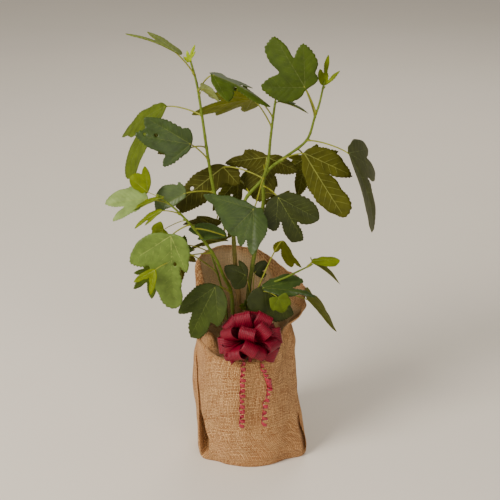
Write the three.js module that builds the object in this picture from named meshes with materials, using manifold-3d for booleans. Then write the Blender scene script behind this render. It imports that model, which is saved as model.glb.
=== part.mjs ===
// A young fig with several stems, its root ball in a hessian sack, and a ribbon bow at the sack's mouth.
// Millimetres, +Z up, the front faces -Y, and the origin is the middle of the sack's flat underside.
import * as THREE from "three";
import { mergeVertices } from "three/addons/utils/BufferGeometryUtils.js";
import Module from "manifold-3d";

const wasm = await Module();
wasm.setup();

// Driving dimensions
const GAP = 0.3;
const SACK_WALL = 2.4;
const FRONT_RIM = 203;
const FLAP_TOP = 337;
const COMPOST_TOP = 175;
const ROOT_BALL_CLEAR = 1.8;
const RIBBON_WIDTH = 27;
const TAIL_WIDTH = 5;
const TAIL_THICKNESS = 0.9;
const BLADE_THICKNESS = 1.2;
const STALK_RADIUS = 1.5;

// Numbers of facets
const SACK_SIDES = 44;
const STEM_SIDES = 7;
const STALK_SIDES = 3;
const STALK_STEPS = 3;
const TAIL_STEPS_PER_TURN = 6;

// Colours
const HESSIAN = 0xb98d5c;
const COMPOST = 0x3a2a20;
const CRIMSON = 0x8e1230;
const BARK = 0x6e5338;
const GREEN_STEM = 0x55682c;
const LEAF = 0x4b6a2c;

const up = (x, y, z) => new THREE.Vector3(x, y, z);
const degrees = THREE.MathUtils.degToRad;
const mix = THREE.MathUtils.lerp;

// 0 before the first value, 1 after the second, and smooth between them.
function ease(x, from, to) {
  return THREE.MathUtils.smoothstep(x, from, to);
}

// A closed three.js geometry as a solid that can be joined and cut.
function solidOf(geometry) {
  const bare = geometry.clone();
  bare.deleteAttribute("normal");
  bare.deleteAttribute("uv");
  const merged = mergeVertices(bare, 1e-3);
  const vertProperties = merged.attributes.position.array;
  const triVerts = new Uint32Array(merged.index.array);
  return new wasm.Manifold(new wasm.Mesh({ numProp: 3, vertProperties, triVerts }));
}

// The largest piece of a solid, so that a loose scrap is dropped.
function largest(solid) {
  const pieces = solid.decompose();
  return pieces.reduce((a, b) => (b.volume() > a.volume() ? b : a));
}

function geometryOf(solid) {
  const mesh = solid.getMesh();
  const geometry = new THREE.BufferGeometry();
  geometry.setAttribute("position", new THREE.BufferAttribute(mesh.vertProperties, 3));
  geometry.setIndex(new THREE.BufferAttribute(mesh.triVerts, 1));
  return geometry;
}

function node(name, solid, color, roughness) {
  const material = new THREE.MeshStandardMaterial({ color, roughness, metalness: 0 });
  const mesh = new THREE.Mesh(geometryOf(solid), material);
  mesh.name = name;
  return mesh;
}

// Moves each vertex of a geometry by a rule that takes and returns a point.
function moved(geometry, rule) {
  const positions = geometry.attributes.position;
  for (let i = 0; i < positions.count; i++) {
    const point = rule(up().fromBufferAttribute(positions, i));
    positions.setXYZ(i, point.x, point.y, point.z);
  }
  return geometry;
}

// Sack. A bearing is in degrees round the upright axis: 0 at the front, plus to the right.
const PROFILE = [
  [0, 85], [25, 88], [70, 89], [120, 88], [165, 85], [203, 82],
  [235, 77], [262, 84], [292, 97], [322, 101], [352, 97],
];
const CORNERS = [
  { bearing: -57, reach: 15, width: 13 },
  { bearing: 65, reach: 20, width: 13 },
];
const CORNER_HEIGHT = 150;
// On the right the cloth is drawn in at the neck and stands out above it as a wing.
const DRAPES = [
  { bearing: 100, height: 256, reach: 14, width: 15, tall: 18 },
  { bearing: 80, height: 237, reach: -9, width: 26, tall: 11 },
];
// Gathers round the tied neck: how many, how deep and how far turned.
const GATHERS = [[9, 1.4, 0.4], [14, 1.0, 1.1]];
const GATHERED = { from: 120, to: 230 };
// Broad waves in the cloth above the neck.
const WAVES = { count: 5, depth: 3, from: 240, to: 320 };
// Half-way up, the sack leans over to the left by this much.
const LEAN = [[0, 0], [70, 4], [120, 8], [180, 8], [215, 6], [262, 0], [352, 0]];
// The rim's height round the sack: low in front, up to the neck and the wing on the right, and up to the flap.
const RIM = [
  [-180, 331], [-150, FLAP_TOP], [-114, 335], [-84, 208], [-40, FRONT_RIM],
  [24, FRONT_RIM], [62, 250], [104, 292], [138, 297], [180, 331],
];

// A value read off rows of places and values, smooth from each row to the next.
function valueAt(rows, place) {
  const i = rows.findIndex((row) => row[0] > place);
  if (i === -1) return rows[rows.length - 1][1];
  if (i === 0) return rows[0][1];
  const [x0, y0] = rows[i - 1];
  const [x1, y1] = rows[i];
  return mix(y0, y1, ease(place, x0, x1));
}

const profileRadius = (z) => valueAt(PROFILE, z);
const rimHeight = (bearing) => valueAt(RIM, bearing);

function bell(x, middle, width) {
  return Math.exp(-(((x - middle) / width) ** 2));
}

function sackRadius(bearing, z) {
  const turn = degrees(bearing);
  let r = profileRadius(z);
  for (const corner of CORNERS) {
    r += corner.reach * bell(bearing, corner.bearing, corner.width) * (1 - ease(z, 0, CORNER_HEIGHT));
  }
  for (const drape of DRAPES) {
    r += drape.reach * bell(bearing, drape.bearing, drape.width) * bell(z, drape.height, drape.tall);
  }
  for (const [count, depth, turned] of GATHERS) {
    r += ease(z, GATHERED.from, GATHERED.to) * depth * Math.cos(count * turn + turned);
  }
  r -= valueAt(LEAN, z) * Math.sin(turn);
  return r + ease(z, WAVES.from, WAVES.to) * WAVES.depth * Math.cos(WAVES.count * turn);
}

// Heights of the rings up to the compost's top, and shares of the way from there up to the rim.
const LOW_RINGS = [12, 30, 60, 100, 140, COMPOST_TOP];
const HIGH_RINGS = [0.25, 0.45, 0.65, 0.85, 1];

// A closed lathe. Each row is a height, worked out from the bearing, and a distance inside the sack's outer
// face, or null on the axis.
function lathed(rows) {
  const points = rows.map(([, inset], i) => new THREE.Vector2(inset === null ? 0 : 1, i));
  return moved(new THREE.LatheGeometry(points, SACK_SIDES), (p) => {
    const [heightAt, inset] = rows[Math.round(p.y)];
    const turn = Math.atan2(p.x, p.z);
    const bearing = THREE.MathUtils.radToDeg(turn);
    const z = heightAt(bearing);
    const r = inset === null ? 0 : sackRadius(bearing, z) - inset;
    return up(r * Math.sin(turn), -r * Math.cos(turn), z);
  });
}

function sack() {
  const level = (z) => () => z;
  const high = (share) => (bearing) => mix(COMPOST_TOP, rimHeight(bearing), share);
  const heights = [...LOW_RINGS.map(level), ...HIGH_RINGS.map(high)];
  const outer = [level(0), ...heights].map((heightAt) => [heightAt, 0]);
  const inner = [level(SACK_WALL), ...heights].reverse().map((heightAt) => [heightAt, SACK_WALL]);
  return solidOf(lathed([[level(0), null], ...outer, ...inner, [level(SACK_WALL), null]]));
}

// Root ball: the potted compost that fills the sack, with a level top that the stems stand on.
function rootBall() {
  const bottom = SACK_WALL + GAP;
  const inset = SACK_WALL + ROOT_BALL_CLEAR;
  const rings = [bottom, ...LOW_RINGS].map((z) => [() => z, inset]);
  return solidOf(lathed([[() => bottom, null], ...rings, [() => COMPOST_TOP, null]]));
}

// Stems. Each is a smooth curve with a radius at its foot and at its tip.
const STEMS = {
  trunk: {
    path: [[-14, 9, 168], [-18, 6, 262], [-24, 6, 330], [-27, 8, 388]],
    foot: 4.8, tip: 3.5,
  },
  left: {
    path: [
      [-27, 8, 388], [-45, 2, 430], [-57, -2, 466], [-66, 0, 522],
      [-75, 4, 592], [-82, 8, 640], [-91, 10, 676],
    ],
    foot: 3.2, tip: 1.6,
  },
  right: {
    path: [
      [-27, 8, 388], [-8, 16, 446], [16, 24, 474], [33, 26, 498], [56, 26, 516],
      [90, 24, 545], [102, 22, 583], [109, 20, 607], [115, 20, 638],
    ],
    foot: 3.0, tip: 1.5,
  },
  centre: {
    path: [
      [3, 4, 168], [-4, 1, 265], [8, -2, 364], [21, -4, 446],
      [21, -4, 484], [29, -4, 520], [32, -4, 556], [39, 0, 615],
    ],
    foot: 4.0, tip: 1.8,
  },
  low_left: {
    path: [
      [-30, -2, 168], [-30, -6, 280], [-44, -22, 330], [-60, -38, 376],
      [-88, -52, 424], [-114, -60, 458], [-140, -66, 484],
    ],
    foot: 3.5, tip: 1.3,
  },
  low_right: {
    path: [[2, -16, 168], [4, -14, 270], [20, -20, 305], [60, -28, 330], [96, -34, 352]],
    foot: 2.9, tip: 1.2,
  },
  slender: {
    path: [[-34, 16, 168], [-40, 8, 250], [-50, 0, 309], [-65, -6, 366]],
    foot: 2.2, tip: 1.3,
  },
};
const FLARE = { from: 172, to: 205, extra: 2.2 };

function curveOf(points) {
  return new THREE.CatmullRomCurve3(points.map((p) => up(...p)), false, "catmullrom", 0.5);
}

for (const stem of Object.values(STEMS)) stem.curve = curveOf(stem.path);

// The place along a stem, from 0 to 1, where it passes a height.
function shareAt(stem, z) {
  let low = 0;
  let high = 1;
  for (let i = 0; i < 30; i++) {
    const middle = (low + high) / 2;
    if (stem.curve.getPoint(middle).z < z) low = middle;
    else high = middle;
  }
  return (low + high) / 2;
}

// A tapering limb along a curve: an upright cylinder whose rings are set square to the curve.
function limb(curve, radiusAt, sides, steps, from = 0, to = 1) {
  const frames = [];
  let side = up(1, 0, 0);
  for (let i = 0; i <= steps; i++) {
    const share = mix(from, to, i / steps);
    const along = curve.getTangent(share);
    side = side.clone().addScaledVector(along, -side.dot(along));
    if (side.length() < 0.2) side = up(0, 1, 0).addScaledVector(along, -along.y);
    side.normalize();
    const other = along.clone().cross(side);
    frames.push({ middle: curve.getPoint(share), side, other, radius: radiusAt(share) });
  }
  const cylinder = new THREE.CylinderGeometry(1, 1, steps, sides, steps);
  return solidOf(moved(cylinder, (p) => {
    const ring = frames[Math.round(p.y + steps / 2)];
    const place = ring.middle.clone();
    place.addScaledVector(ring.side, -p.x * ring.radius);
    return place.addScaledVector(ring.other, p.z * ring.radius);
  }));
}

function stemRadius(stem, share, extra = 0) {
  const flare = FLARE.extra * (1 - ease(stem.curve.getPoint(share).z, FLARE.from, FLARE.to));
  return mix(stem.foot, stem.tip, share) + flare + extra;
}

// The stretch of a stem between two heights, or up to its tip.
function stretch(name, from, to = Infinity, extra = 0) {
  const stem = STEMS[name];
  const start = from === -Infinity ? 0 : shareAt(stem, from);
  const end = to === Infinity ? 1 : shareAt(stem, to);
  const steps = Math.max(3, Math.round((end - start) * (stem.path.length - 1) * 2));
  return limb(stem.curve, (share) => stemRadius(stem, share, extra), STEM_SIDES, steps, start, end);
}

// A stem that stands on the compost is cut level at its foot.
function planted(solid) {
  return solid.trimByPlane([0, 0, 1], COMPOST_TOP + GAP);
}

const FORK = 388;
const FORK_ARM = 402;
const LEAVES_FROM = { left: 410, right: 452, centre: 462, low_left: 368, low_right: 262, slender: 320 };

function trunk() {
  const arms = ["left", "right"].map((name) => stretch(name, FORK, FORK_ARM));
  return wasm.Manifold.union([planted(stretch("trunk", -Infinity)), ...arms]);
}

// Leaves. A lobe is its bearing from the midrib, its length and its half width. The bearing and the width are
// in degrees, plus to the left, and the length is a share of the blade's. The web is how deep the blade is
// between its lobes.
function both(middle, ...sides) {
  return [middle, ...sides, ...sides.map(([bearing, length, width]) => [-bearing, length, width])];
}

const BLADES = {
  five: { web: 0.46, lobes: both([0, 1, 16], [42, 0.82, 17], [80, 0.52, 22], [128, 0.26, 34]) },
  three: { web: 0.54, lobes: both([0, 1, 22], [50, 0.78, 23], [98, 0.46, 30]) },
  young: { web: 0.24, lobes: both([0, 1, 12], [34, 0.74, 12], [76, 0.36, 16]) },
  heart: { web: 0.72, lobes: both([0, 1, 30], [48, 0.82, 32], [96, 0.58, 36]) },
  pair: { web: 0.5, lobes: [[0, 1, 18], [34, 0.95, 16], [-40, 0.5, 20], [80, 0.4, 24]] },
  broad: {
    web: 0.5,
    lobes: [
      [0, 1, 24], [30, 0.8, 16], [63, 0.7, 16],
      [100, 0.36, 30], [-34, 0.66, 22], [-62, 0.42, 24],
    ],
  },
  hanging: {
    web: 0.5,
    lobes: [
      [0, 1, 20], [27, 0.74, 18], [70, 0.34, 30],
      [-34, 0.6, 16], [-64, 0.44, 24], [-108, 0.32, 34],
    ],
  },
  spread: {
    web: 0.42,
    lobes: [
      [0, 1, 15], [32, 0.78, 13], [81, 0.76, 11],
      [-28, 0.74, 14], [-80, 0.73, 13], [-125, 0.3, 30],
    ],
  },
  angular: {
    web: 0.66,
    lobes: [
      [0, 0.86, 20], [-61, 1.18, 17], [-30, 0.82, 22],
      [41, 1, 14], [68, 0.66, 20], [95, 0.45, 24],
    ],
  },
  hand: {
    web: 0.46,
    lobes: [
      [0, 1, 13], [-32, 0.66, 14], [-62, 0.42, 24],
      [36, 0.88, 13], [54, 0.68, 16], [92, 0.3, 30],
    ],
  },
  upright: {
    web: 0.5,
    lobes: [
      [0, 1, 15], [-38, 0.78, 14], [-66, 0.54, 20],
      [42, 0.78, 14], [70, 0.66, 16], [112, 0.3, 30],
    ],
  },
  long: {
    web: 0.42,
    lobes: [
      [0, 1, 15], [-24, 0.72, 15], [-52, 0.62, 17],
      [-90, 0.3, 30], [29, 0.52, 14], [60, 0.32, 30],
    ],
  },
  folded: {
    web: 0.44,
    lobes: [
      [0, 1, 16], [-30, 0.74, 15], [-58, 0.4, 24],
      [28, 0.5, 15], [60, 0.28, 26],
    ],
  },
  apron: {
    web: 0.46,
    lobes: [
      [0, 1, 16], [-33, 0.76, 15], [-57, 0.52, 20],
      [31, 0.64, 15], [56, 0.44, 22],
    ],
  },
  narrow: { web: 0.3, lobes: [[0, 1, 12], [40, 0.84, 17], [70, 0.52, 20], [-45, 0.5, 22]] },
};
const BASE = { from: 70, to: 170, left: 0.24 };
const NOTCH = { from: 160, to: 180, left: 0.25 };

// The blade's reach from its junction at a bearing, as a share of its length.
function reach(kind, bearing) {
  const { web, lobes } = BLADES[kind];
  let r = web;
  for (const [middle, length, width] of lobes) {
    const t = Math.abs(bearing - middle) / width;
    if (t < 1 && length > web) r = Math.max(r, web + (length - web) * Math.sqrt(1 - t ** 2.4));
  }
  const side = Math.abs(bearing);
  for (const cut of [BASE, NOTCH]) r *= mix(1, cut.left, ease(side, cut.from, cut.to));
  return r;
}

const BASE_BEARINGS = [-162, -132, 132, 162, 180];
const LEAST_STEP = 5;

// Where points are set across a lobe: most on a long one, and only its tip on a short one.
function shouldersOf(length) {
  if (length < 0.4) return [0];
  return length > 0.95 ? [-0.9, -0.5, 0, 0.5, 0.9] : [-0.8, 0, 0.8];
}

// The bearings that draw a blade's outline: its lobes' tips and shoulders, and the hollows between them.
function outlineBearings(kind) {
  const lobes = [...BLADES[kind].lobes].sort((a, b) => a[0] - b[0]);
  const list = [...BASE_BEARINGS];
  lobes.forEach(([middle, length, width], i) => {
    for (const share of shouldersOf(length)) list.push(middle + share * width);
    const next = lobes[i + 1];
    if (next && next[0] - next[2] > middle + width) list.push((middle + width + next[0] - next[2]) / 2);
  });
  list.sort((a, b) => a - b);
  return list.filter((bearing, i) => i === 0 || bearing - list[i - 1] > LEAST_STEP);
}

// Each leaf: the height where its stalk leaves the stem, the junction of stalk and blade, the way from there
// to the tip, the way its upper face looks, and its kind. fold is how far the two halves rise or hang.
const row = (from, at, tip, face, kind, fold = 0.1) => ({ from, at, tip, face, kind, fold });
const LEAVES = {
  left: [
    row(676, [-95, 8, 676], [10, 0, 26], [0.2, -0.9, 0.3], "young"),
    row(655, [-111, 0, 692], [-71, 0, 35], [0.36, 0.1, 0.9], "five"),
    row(630, [-56, -36, 668], [93, -10, -39], [0.4, -0.25, 0.88], "five", -0.45),
    row(622, [-73, -10, 640], [28, -4, -18], [0.2, 0.5, 0.8], "heart"),
    row(592, [-134, 22, 602], [-66, -14, -103], [-0.8, -0.3, 0.53], "five"),
    row(520, [-92, -20, 553], [-73, -10, 34], [0, -0.9, 0.3], "broad"),
    row(466, [-103, -18, 471], [-52, -10, -28], [0, -0.85, 0.5], "heart"),
    row(436, [-59, 24, 398], [-51, -2, 10], [0, 0.6, 0.7], "heart"),
    row(424, [-43, 16, 376], [-66, -8, -11], [0, 0.5, 0.8], "three"),
    row(540, [-112, 58, 520], [-55, 8, 25], [-0.2, 0.8, 0.5], "three"),
    row(420, [-10, 30, 417], [-27, 14, -45], [0, 0.8, 0.5], "three"),
  ],
  centre: [
    row(575, [3, 60, 603], [-101, 2, -23], [-0.2, 0.58, 0.8], "five"),
    row(490, [-43, 22, 501], [-65, -20, -77], [0, 0.97, -0.2], "hanging"),
    row(492, [6, -74, 466], [-43, -24, -38], [-0.1, -0.95, 0.3], "angular"),
    row(478, [44, -44, 474], [38, -22, -69], [0, -0.95, 0.3], "hand"),
    row(505, [27, 34, 514], [-16, -4, -76], [0, 0.97, -0.2], "spread"),
    row(612, [48, 28, 608], [47, 0, -15], [0.1, 0.15, 1], "three"),
    row(500, [20, 84, 485], [-10, 8, -60], [0, 0.9, 0.4], "five"),
    row(590, [-6, 96, 605], [-52, 6, -28], [0, 0.6, 0.8], "three"),
    row(466, [56, 40, 450], [24, 12, -58], [0.1, 0.85, 0.4], "five"),
  ],
  right: [
    row(590, [85, 4, 637], [-62, -8, 76], [0, -0.95, 0.3], "upright"),
    row(630, [115, 20, 635], [5, 6, 46], [-0.3, -0.9, 0.2], "young"),
    row(510, [86, 12, 528], [65, -6, -107], [-0.2, 0.95, -0.1], "folded"),
    row(545, [156, 0, 532], [54, 2, -136], [0.93, -0.2, 0.34], "five"),
    row(585, [85, 62, 627], [-42, 8, 50], [0, 0.9, 0.3], "three"),
    row(530, [92, 62, 503], [49, 8, -84], [0.2, 0.9, 0.3], "five"),
    row(457, [-20, 72, 462], [-45, 6, -55], [0, 0.85, 0.5], "five"),
  ],
  low_left: [
    row(470, [-160, -40, 481], [-28, 4, 22], [0, -0.8, 0.5], "three"),
    row(470, [-161, -50, 473], [-66, -14, -12], [-0.1, -0.6, 0.75], "pair"),
    row(480, [-133, -66, 483], [-55, 0, -18], [0, 0, 1], "young"),
    row(450, [-136, -74, 464], [-45, -6, -24], [0, -0.3, 0.95], "young"),
    row(424, [-38, -36, 405], [-57, -4, 9], [0, -0.5, 0.85], "three"),
    row(440, [-137, -54, 423], [-20, 2, -18], [0, -0.7, 0.7], "heart"),
    row(376, [-147, -66, 373], [-28, -10, -21], [0, -0.5, 0.85], "young"),
    row(376, [-156, -54, 354], [-3, -4, -53], [0, -0.95, 0.2], "five"),
  ],
  low_right: [
    row(290, [53, -12, 386], [28, 0, -51], [-0.8, -0.2, 0.4], "three"),
    row(350, [100, -34, 361], [45, -6, 1], [0, -0.45, 0.85], "heart"),
    row(350, [100, -34, 359], [51, 4, -36], [0.4, 0.1, 0.9], "three"),
    row(310, [20, -34, 313], [87, -10, -4], [0, -0.45, 0.9], "narrow"),
    row(300, [20, -26, 309], [48, -10, -50], [0, -0.95, 0.3], "heart"),
    row(300, [94, -22, 287], [55, 0, -67], [0.75, 0, 0.64], "five"),
    row(270, [-7, -24, 331], [-33, -8, 12], [0, -0.85, 0.5], "heart"),
    row(270, [8, 18, 317], [22, 6, 14], [0, -0.85, 0.5], "heart"),
  ],
  slender: [
    row(362, [-103, -20, 383], [-42, -6, -27], [0, -0.5, 0.8], "three"),
    row(325, [-120, 46, 345], [-48, 6, -66], [-0.2, 0.9, 0.3], "five"),
  ],
  front: [row(432, [-123, -79, 423], [1, -16, -126], [-0.1, -0.95, 0.1], "long")],
  foot: [row(290, [-56, -52, 323], [-28, -26, -84], [-0.1, -0.93, 0.3], "apron")],
};

// Fills in what the rest of a leaf's shape is worked out from: its length and its three directions.
function withAxes(leaf) {
  const forward = up(...leaf.tip);
  const length = forward.length();
  forward.normalize();
  const face = up(...leaf.face);
  face.addScaledVector(forward, -face.dot(forward)).normalize();
  return { ...leaf, length, forward, face, left: face.clone().cross(forward) };
}

const CURL = 0.18;
// The middle of a blade's facets, as a share of its length ahead of the stalk.
const MIDDLE = 0.13;
const THINNEST = 0.0125;

// A point of the flat blade in space: u towards the tip, v to the left, w out of the upper face.
function onBlade(leaf, u, v, w) {
  const { length, forward, left, face, at, fold } = leaf;
  const bend = 2 * CURL;
  const turn = (u / length) * bend;
  const ahead = (length / bend) * Math.sin(turn);
  const arch = -(length / bend) * (1 - Math.cos(turn)) + 0.5 * CURL * u;
  const tilt = fold * Math.abs(v) - (0.25 * fold * v * v) / length;
  return up(...at)
    .addScaledVector(forward, ahead)
    .addScaledVector(left, v)
    .addScaledVector(face, arch + tilt + w);
}

// A flat disc whose rim is drawn out to the blade's outline, then bent.
function blade(leaf) {
  const bearings = outlineBearings(leaf.kind);
  const thickness = Math.max(BLADE_THICKNESS, THINNEST * leaf.length);
  const disc = new THREE.CylinderGeometry(1, 1, thickness, bearings.length, 1);
  return solidOf(moved(disc, (p) => {
    if (Math.hypot(p.x, p.z) < 0.5) return onBlade(leaf, MIDDLE * leaf.length, 0, p.y);
    const share = (Math.atan2(p.x, p.z) / (2 * Math.PI) + 1) % 1;
    const bearing = bearings[Math.round(share * bearings.length) % bearings.length];
    const r = reach(leaf.kind, bearing) * leaf.length;
    const turn = degrees(bearing);
    return onBlade(leaf, r * Math.cos(turn), r * Math.sin(turn), p.y);
  }));
}

// How a stalk bends, in shares of its span: its rise after it leaves the stem, and how it meets the blade.
const STALK_BEND = { first: 0.35, rise: 0.12, behind: 0.13, under: 0.05 };
const STALK_INTO_BLADE = 2.5;
const STALK_TAPER = 0.8;

// The stalk rises from inside the stem and runs a little way into the blade.
function stalk(leaf, stem) {
  const from = stem.curve.getPoint(shareAt(stem, leaf.from));
  const to = up(...leaf.at).addScaledVector(leaf.forward, STALK_INTO_BLADE);
  const span = to.distanceTo(from);
  const first = from.clone().lerp(to, STALK_BEND.first).add(up(0, 0, STALK_BEND.rise * span));
  const second = to.clone().addScaledVector(leaf.forward, -STALK_BEND.behind * span);
  second.addScaledVector(leaf.face, -STALK_BEND.under * span);
  const curve = new THREE.CubicBezierCurve3(from, first, second, to);
  const radiusAt = (share) => STALK_RADIUS * mix(1, STALK_TAPER, share);
  return limb(curve, radiusAt, STALK_SIDES, STALK_STEPS);
}

function leafPieces(leaves, stem) {
  return leaves.map(withAxes).flatMap((leaf) => [stalk(leaf, stem), blade(leaf)]);
}

// The upper, leafy part of a stem with its leaves, as one solid.
function foliage(name) {
  const top = stretch(name, LEAVES_FROM[name]);
  return largest(wasm.Manifold.union([top, ...leafPieces(LEAVES[name], STEMS[name])]));
}

// A leaf on the low left stem that is a node of its own, with its stalk cut just clear of the stem.
function loneLeaf(name, from, to) {
  const leaf = wasm.Manifold.union(leafPieces(LEAVES[name], STEMS.low_left));
  return largest(leaf.subtract(stretch("low_left", from, to, GAP)));
}

// Bow. Each loop leaves the core at a bearing seen from the front, 0 to the right and 90 up, and at a tilt
// from the way the bow faces.
const CORE = up(0, -64, 231);
const CORE_SIZE = up(15, 14, 13);
const FACING = up(0, -0.886, 0.463);
const BOW_UP = up(0, 0.463, 0.886);
const LOOPS = [
  [106, 50, 47], [56, 53, 49], [34, 33, 50], [100, 11, 50], [164, 46, 47], [5, 60, 47], [190, 66, 48],
  [235, 43, 46], [260, 21, 50], [301, 36, 46], [329, 56, 46], [146, 66, 46], [84, 78, 42], [20, 84, 40],
];
const LOOP_FATNESS = 8.5;
const LOOP_POINTS = 8;
const LOOP_START = 8;
const LOOP_ROUNDING = 1.2;
// The ribbon's width where it is gathered at the core, and the share of the loop where it is wide again.
const PINCH = { width: 0.35, until: 0.7 };
const TIE_WIDTH = 12;
const TIE_THICKNESS = 4;

// A teardrop with its point at the core, as wide as the ribbon at its far end and gathered at the core.
function loop([bearing, tilt, length], extra) {
  const turned = degrees(bearing);
  const leant = degrees(tilt);
  const across = up(Math.cos(turned), 0, 0).addScaledVector(BOW_UP, Math.sin(turned));
  const out = FACING.clone().multiplyScalar(Math.cos(leant)).addScaledVector(across, Math.sin(leant));
  const along = across.clone().multiplyScalar(Math.cos(leant)).addScaledVector(FACING, -Math.sin(leant));
  const wide = out.clone().cross(along);
  const outline = Array.from({ length: LOOP_POINTS }, (_, i) => {
    const turn = (2 * Math.PI * (i + 0.5)) / LOOP_POINTS;
    const x = LOOP_START + ((length - LOOP_START) * (1 - Math.cos(turn))) / 2;
    const swell = LOOP_FATNESS * Math.sin(turn / 2) ** LOOP_ROUNDING + extra;
    return new THREE.Vector2(x - extra * Math.cos(turn), swell * Math.sin(turn));
  });
  const slab = new THREE.ExtrudeGeometry(new THREE.Shape(outline), { depth: 1, bevelEnabled: false });
  return solidOf(moved(slab, (p) => {
    const gathered = mix(PINCH.width, 1, ease(p.x / length, 0, PINCH.until));
    const width = (RIBBON_WIDTH + 2 * extra) * gathered;
    return CORE.clone()
      .addScaledVector(out, p.x)
      .addScaledVector(along, p.y)
      .addScaledVector(wide, (p.z - 0.5) * width);
  }));
}

// The core and its tie, which comes down onto the sack's front rim.
function bow(extra = 0) {
  const core = new THREE.SphereGeometry(1, 9, 6);
  core.scale(CORE_SIZE.x + extra, CORE_SIZE.y + extra, CORE_SIZE.z + extra);
  core.translate(CORE.x, CORE.y, CORE.z);
  const rimY = -(sackRadius(0, FRONT_RIM) - SACK_WALL / 2);
  const bottom = FRONT_RIM + GAP;
  const tie = new THREE.BoxGeometry(TIE_WIDTH + 2 * extra, TIE_THICKNESS + 2 * extra, CORE.z - bottom);
  tie.translate(0, rimY, (CORE.z + bottom) / 2);
  const loops = LOOPS.map((one) => loop(one, extra));
  return largest(wasm.Manifold.union([solidOf(core), solidOf(tie), ...loops]));
}

// Curled ribbon tails, each a strip wound round a path that hangs just in front of the sack.
const TAIL_CURL = 5;
const TAIL_PITCH = 12;
const TAILS = {
  left: [[-9, 222], [-11, 196], [-12, 160], [-13, 124], [-13, 90]],
  right: [[14, 222], [20, 196], [30, 170], [32, 152], [25, 122], [24, 88]],
};
const TAIL_CLEAR = 8;
// Above this the tails run back into the bow, where they start.
const TAIL_TOP = { from: 198, to: 222, y: -68 };
// The curls start small and are full size a third of the way down.
const CURLS = { from: 0.05, to: 0.3 };

function tailPath(places) {
  return curveOf(places.map(([x, z]) => {
    const bearing = THREE.MathUtils.radToDeg(Math.atan2(x, profileRadius(z)));
    const hanging = -Math.sqrt((sackRadius(bearing, z) + TAIL_CLEAR) ** 2 - x * x);
    return [x, mix(hanging, TAIL_TOP.y, ease(z, TAIL_TOP.from, TAIL_TOP.to)), z];
  }));
}

function tail(places, keepOut) {
  const path = tailPath(places);
  const turns = path.getLength() / TAIL_PITCH;
  const steps = Math.round(turns * TAIL_STEPS_PER_TURN);
  const strip = new THREE.BoxGeometry(TAIL_THICKNESS, TAIL_WIDTH, steps, 1, 1, steps);
  const solid = solidOf(moved(strip, (p) => {
    const share = p.z / steps + 0.5;
    const middle = path.getPoint(share);
    const turn = share * turns * 2 * Math.PI;
    const radius = TAIL_CURL * ease(share, CURLS.from, CURLS.to) + p.x;
    return middle.add(up(radius * Math.cos(turn), radius * Math.sin(turn), -p.y));
  }));
  return largest(solid.subtract(keepOut));
}

// The bare foot of a stem, from the level of the compost to just under its leafy part.
function bareStem(name) {
  return planted(stretch(name, -Infinity, LEAVES_FROM[name] - GAP));
}

// A bough, from just above the trunk's fork to just under its leafy part.
function bough(name) {
  return stretch(name, FORK_ARM + GAP, LEAVES_FROM[name] - GAP);
}

const plant = new THREE.Group();
const keepOut = bow(GAP);
plant.add(
  node("hessian_sack", sack(), HESSIAN, 0.95),
  node("root_ball", rootBall(), COMPOST, 1),
  node("bow", bow(), CRIMSON, 0.45),
  node("ribbon_tail_left", tail(TAILS.left, keepOut), CRIMSON, 0.3),
  node("ribbon_tail_right", tail(TAILS.right, keepOut), CRIMSON, 0.3),
  node("trunk", trunk(), BARK, 0.8),
  node("bough_left", bough("left"), GREEN_STEM, 0.7),
  node("bough_right", bough("right"), GREEN_STEM, 0.7),
  node("stem_centre", bareStem("centre"), BARK, 0.8),
  node("stem_low_left", bareStem("low_left"), GREEN_STEM, 0.7),
  node("stem_low_right", bareStem("low_right"), GREEN_STEM, 0.7),
  node("stem_slender", bareStem("slender"), GREEN_STEM, 0.7),
  node("foliage_left", foliage("left"), LEAF, 0.6),
  node("foliage_right", foliage("right"), LEAF, 0.6),
  node("foliage_centre", foliage("centre"), LEAF, 0.6),
  node("foliage_low_left", foliage("low_left"), LEAF, 0.6),
  node("foliage_low_right", foliage("low_right"), LEAF, 0.6),
  node("foliage_slender", foliage("slender"), LEAF, 0.6),
  node("foliage_front_left", loneLeaf("front", LEAVES_FROM.low_left, Infinity), LEAF, 0.6),
  node("foliage_foot_left", loneLeaf("foot", -Infinity, LEAVES_FROM.low_left - GAP), LEAF, 0.6),
);

export default plant;
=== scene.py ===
# Looks of a young fig with several stems, its root ball in a hessian sack, and a ribbon bow at the mouth.
# Sizes are in millimetres, as in the part's source, and turn into metres when a mesh is made.
# +Z is up, the front faces -Y, and the origin is the middle of the sack's flat underside.
import math
import random

import bmesh
import bpy
import numpy as np
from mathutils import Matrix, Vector, noise
from mathutils.geometry import delaunay_2d_cdt


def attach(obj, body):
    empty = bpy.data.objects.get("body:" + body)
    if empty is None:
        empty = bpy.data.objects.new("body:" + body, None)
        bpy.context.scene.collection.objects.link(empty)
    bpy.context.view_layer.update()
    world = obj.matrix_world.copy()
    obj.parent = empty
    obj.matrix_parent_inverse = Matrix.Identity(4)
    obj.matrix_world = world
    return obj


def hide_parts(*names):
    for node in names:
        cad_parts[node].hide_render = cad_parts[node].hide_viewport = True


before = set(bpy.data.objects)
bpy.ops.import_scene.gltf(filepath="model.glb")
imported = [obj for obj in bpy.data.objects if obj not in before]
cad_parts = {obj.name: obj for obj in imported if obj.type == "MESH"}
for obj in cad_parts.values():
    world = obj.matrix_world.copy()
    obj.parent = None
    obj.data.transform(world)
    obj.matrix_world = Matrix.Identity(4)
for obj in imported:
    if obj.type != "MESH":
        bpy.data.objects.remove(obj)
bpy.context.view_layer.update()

MM = 0.001
UP = np.array([0.0, 0.0, 1.0])
# The least that a row is divided by when rows are brought to length 1.
TINY = 1e-9

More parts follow.
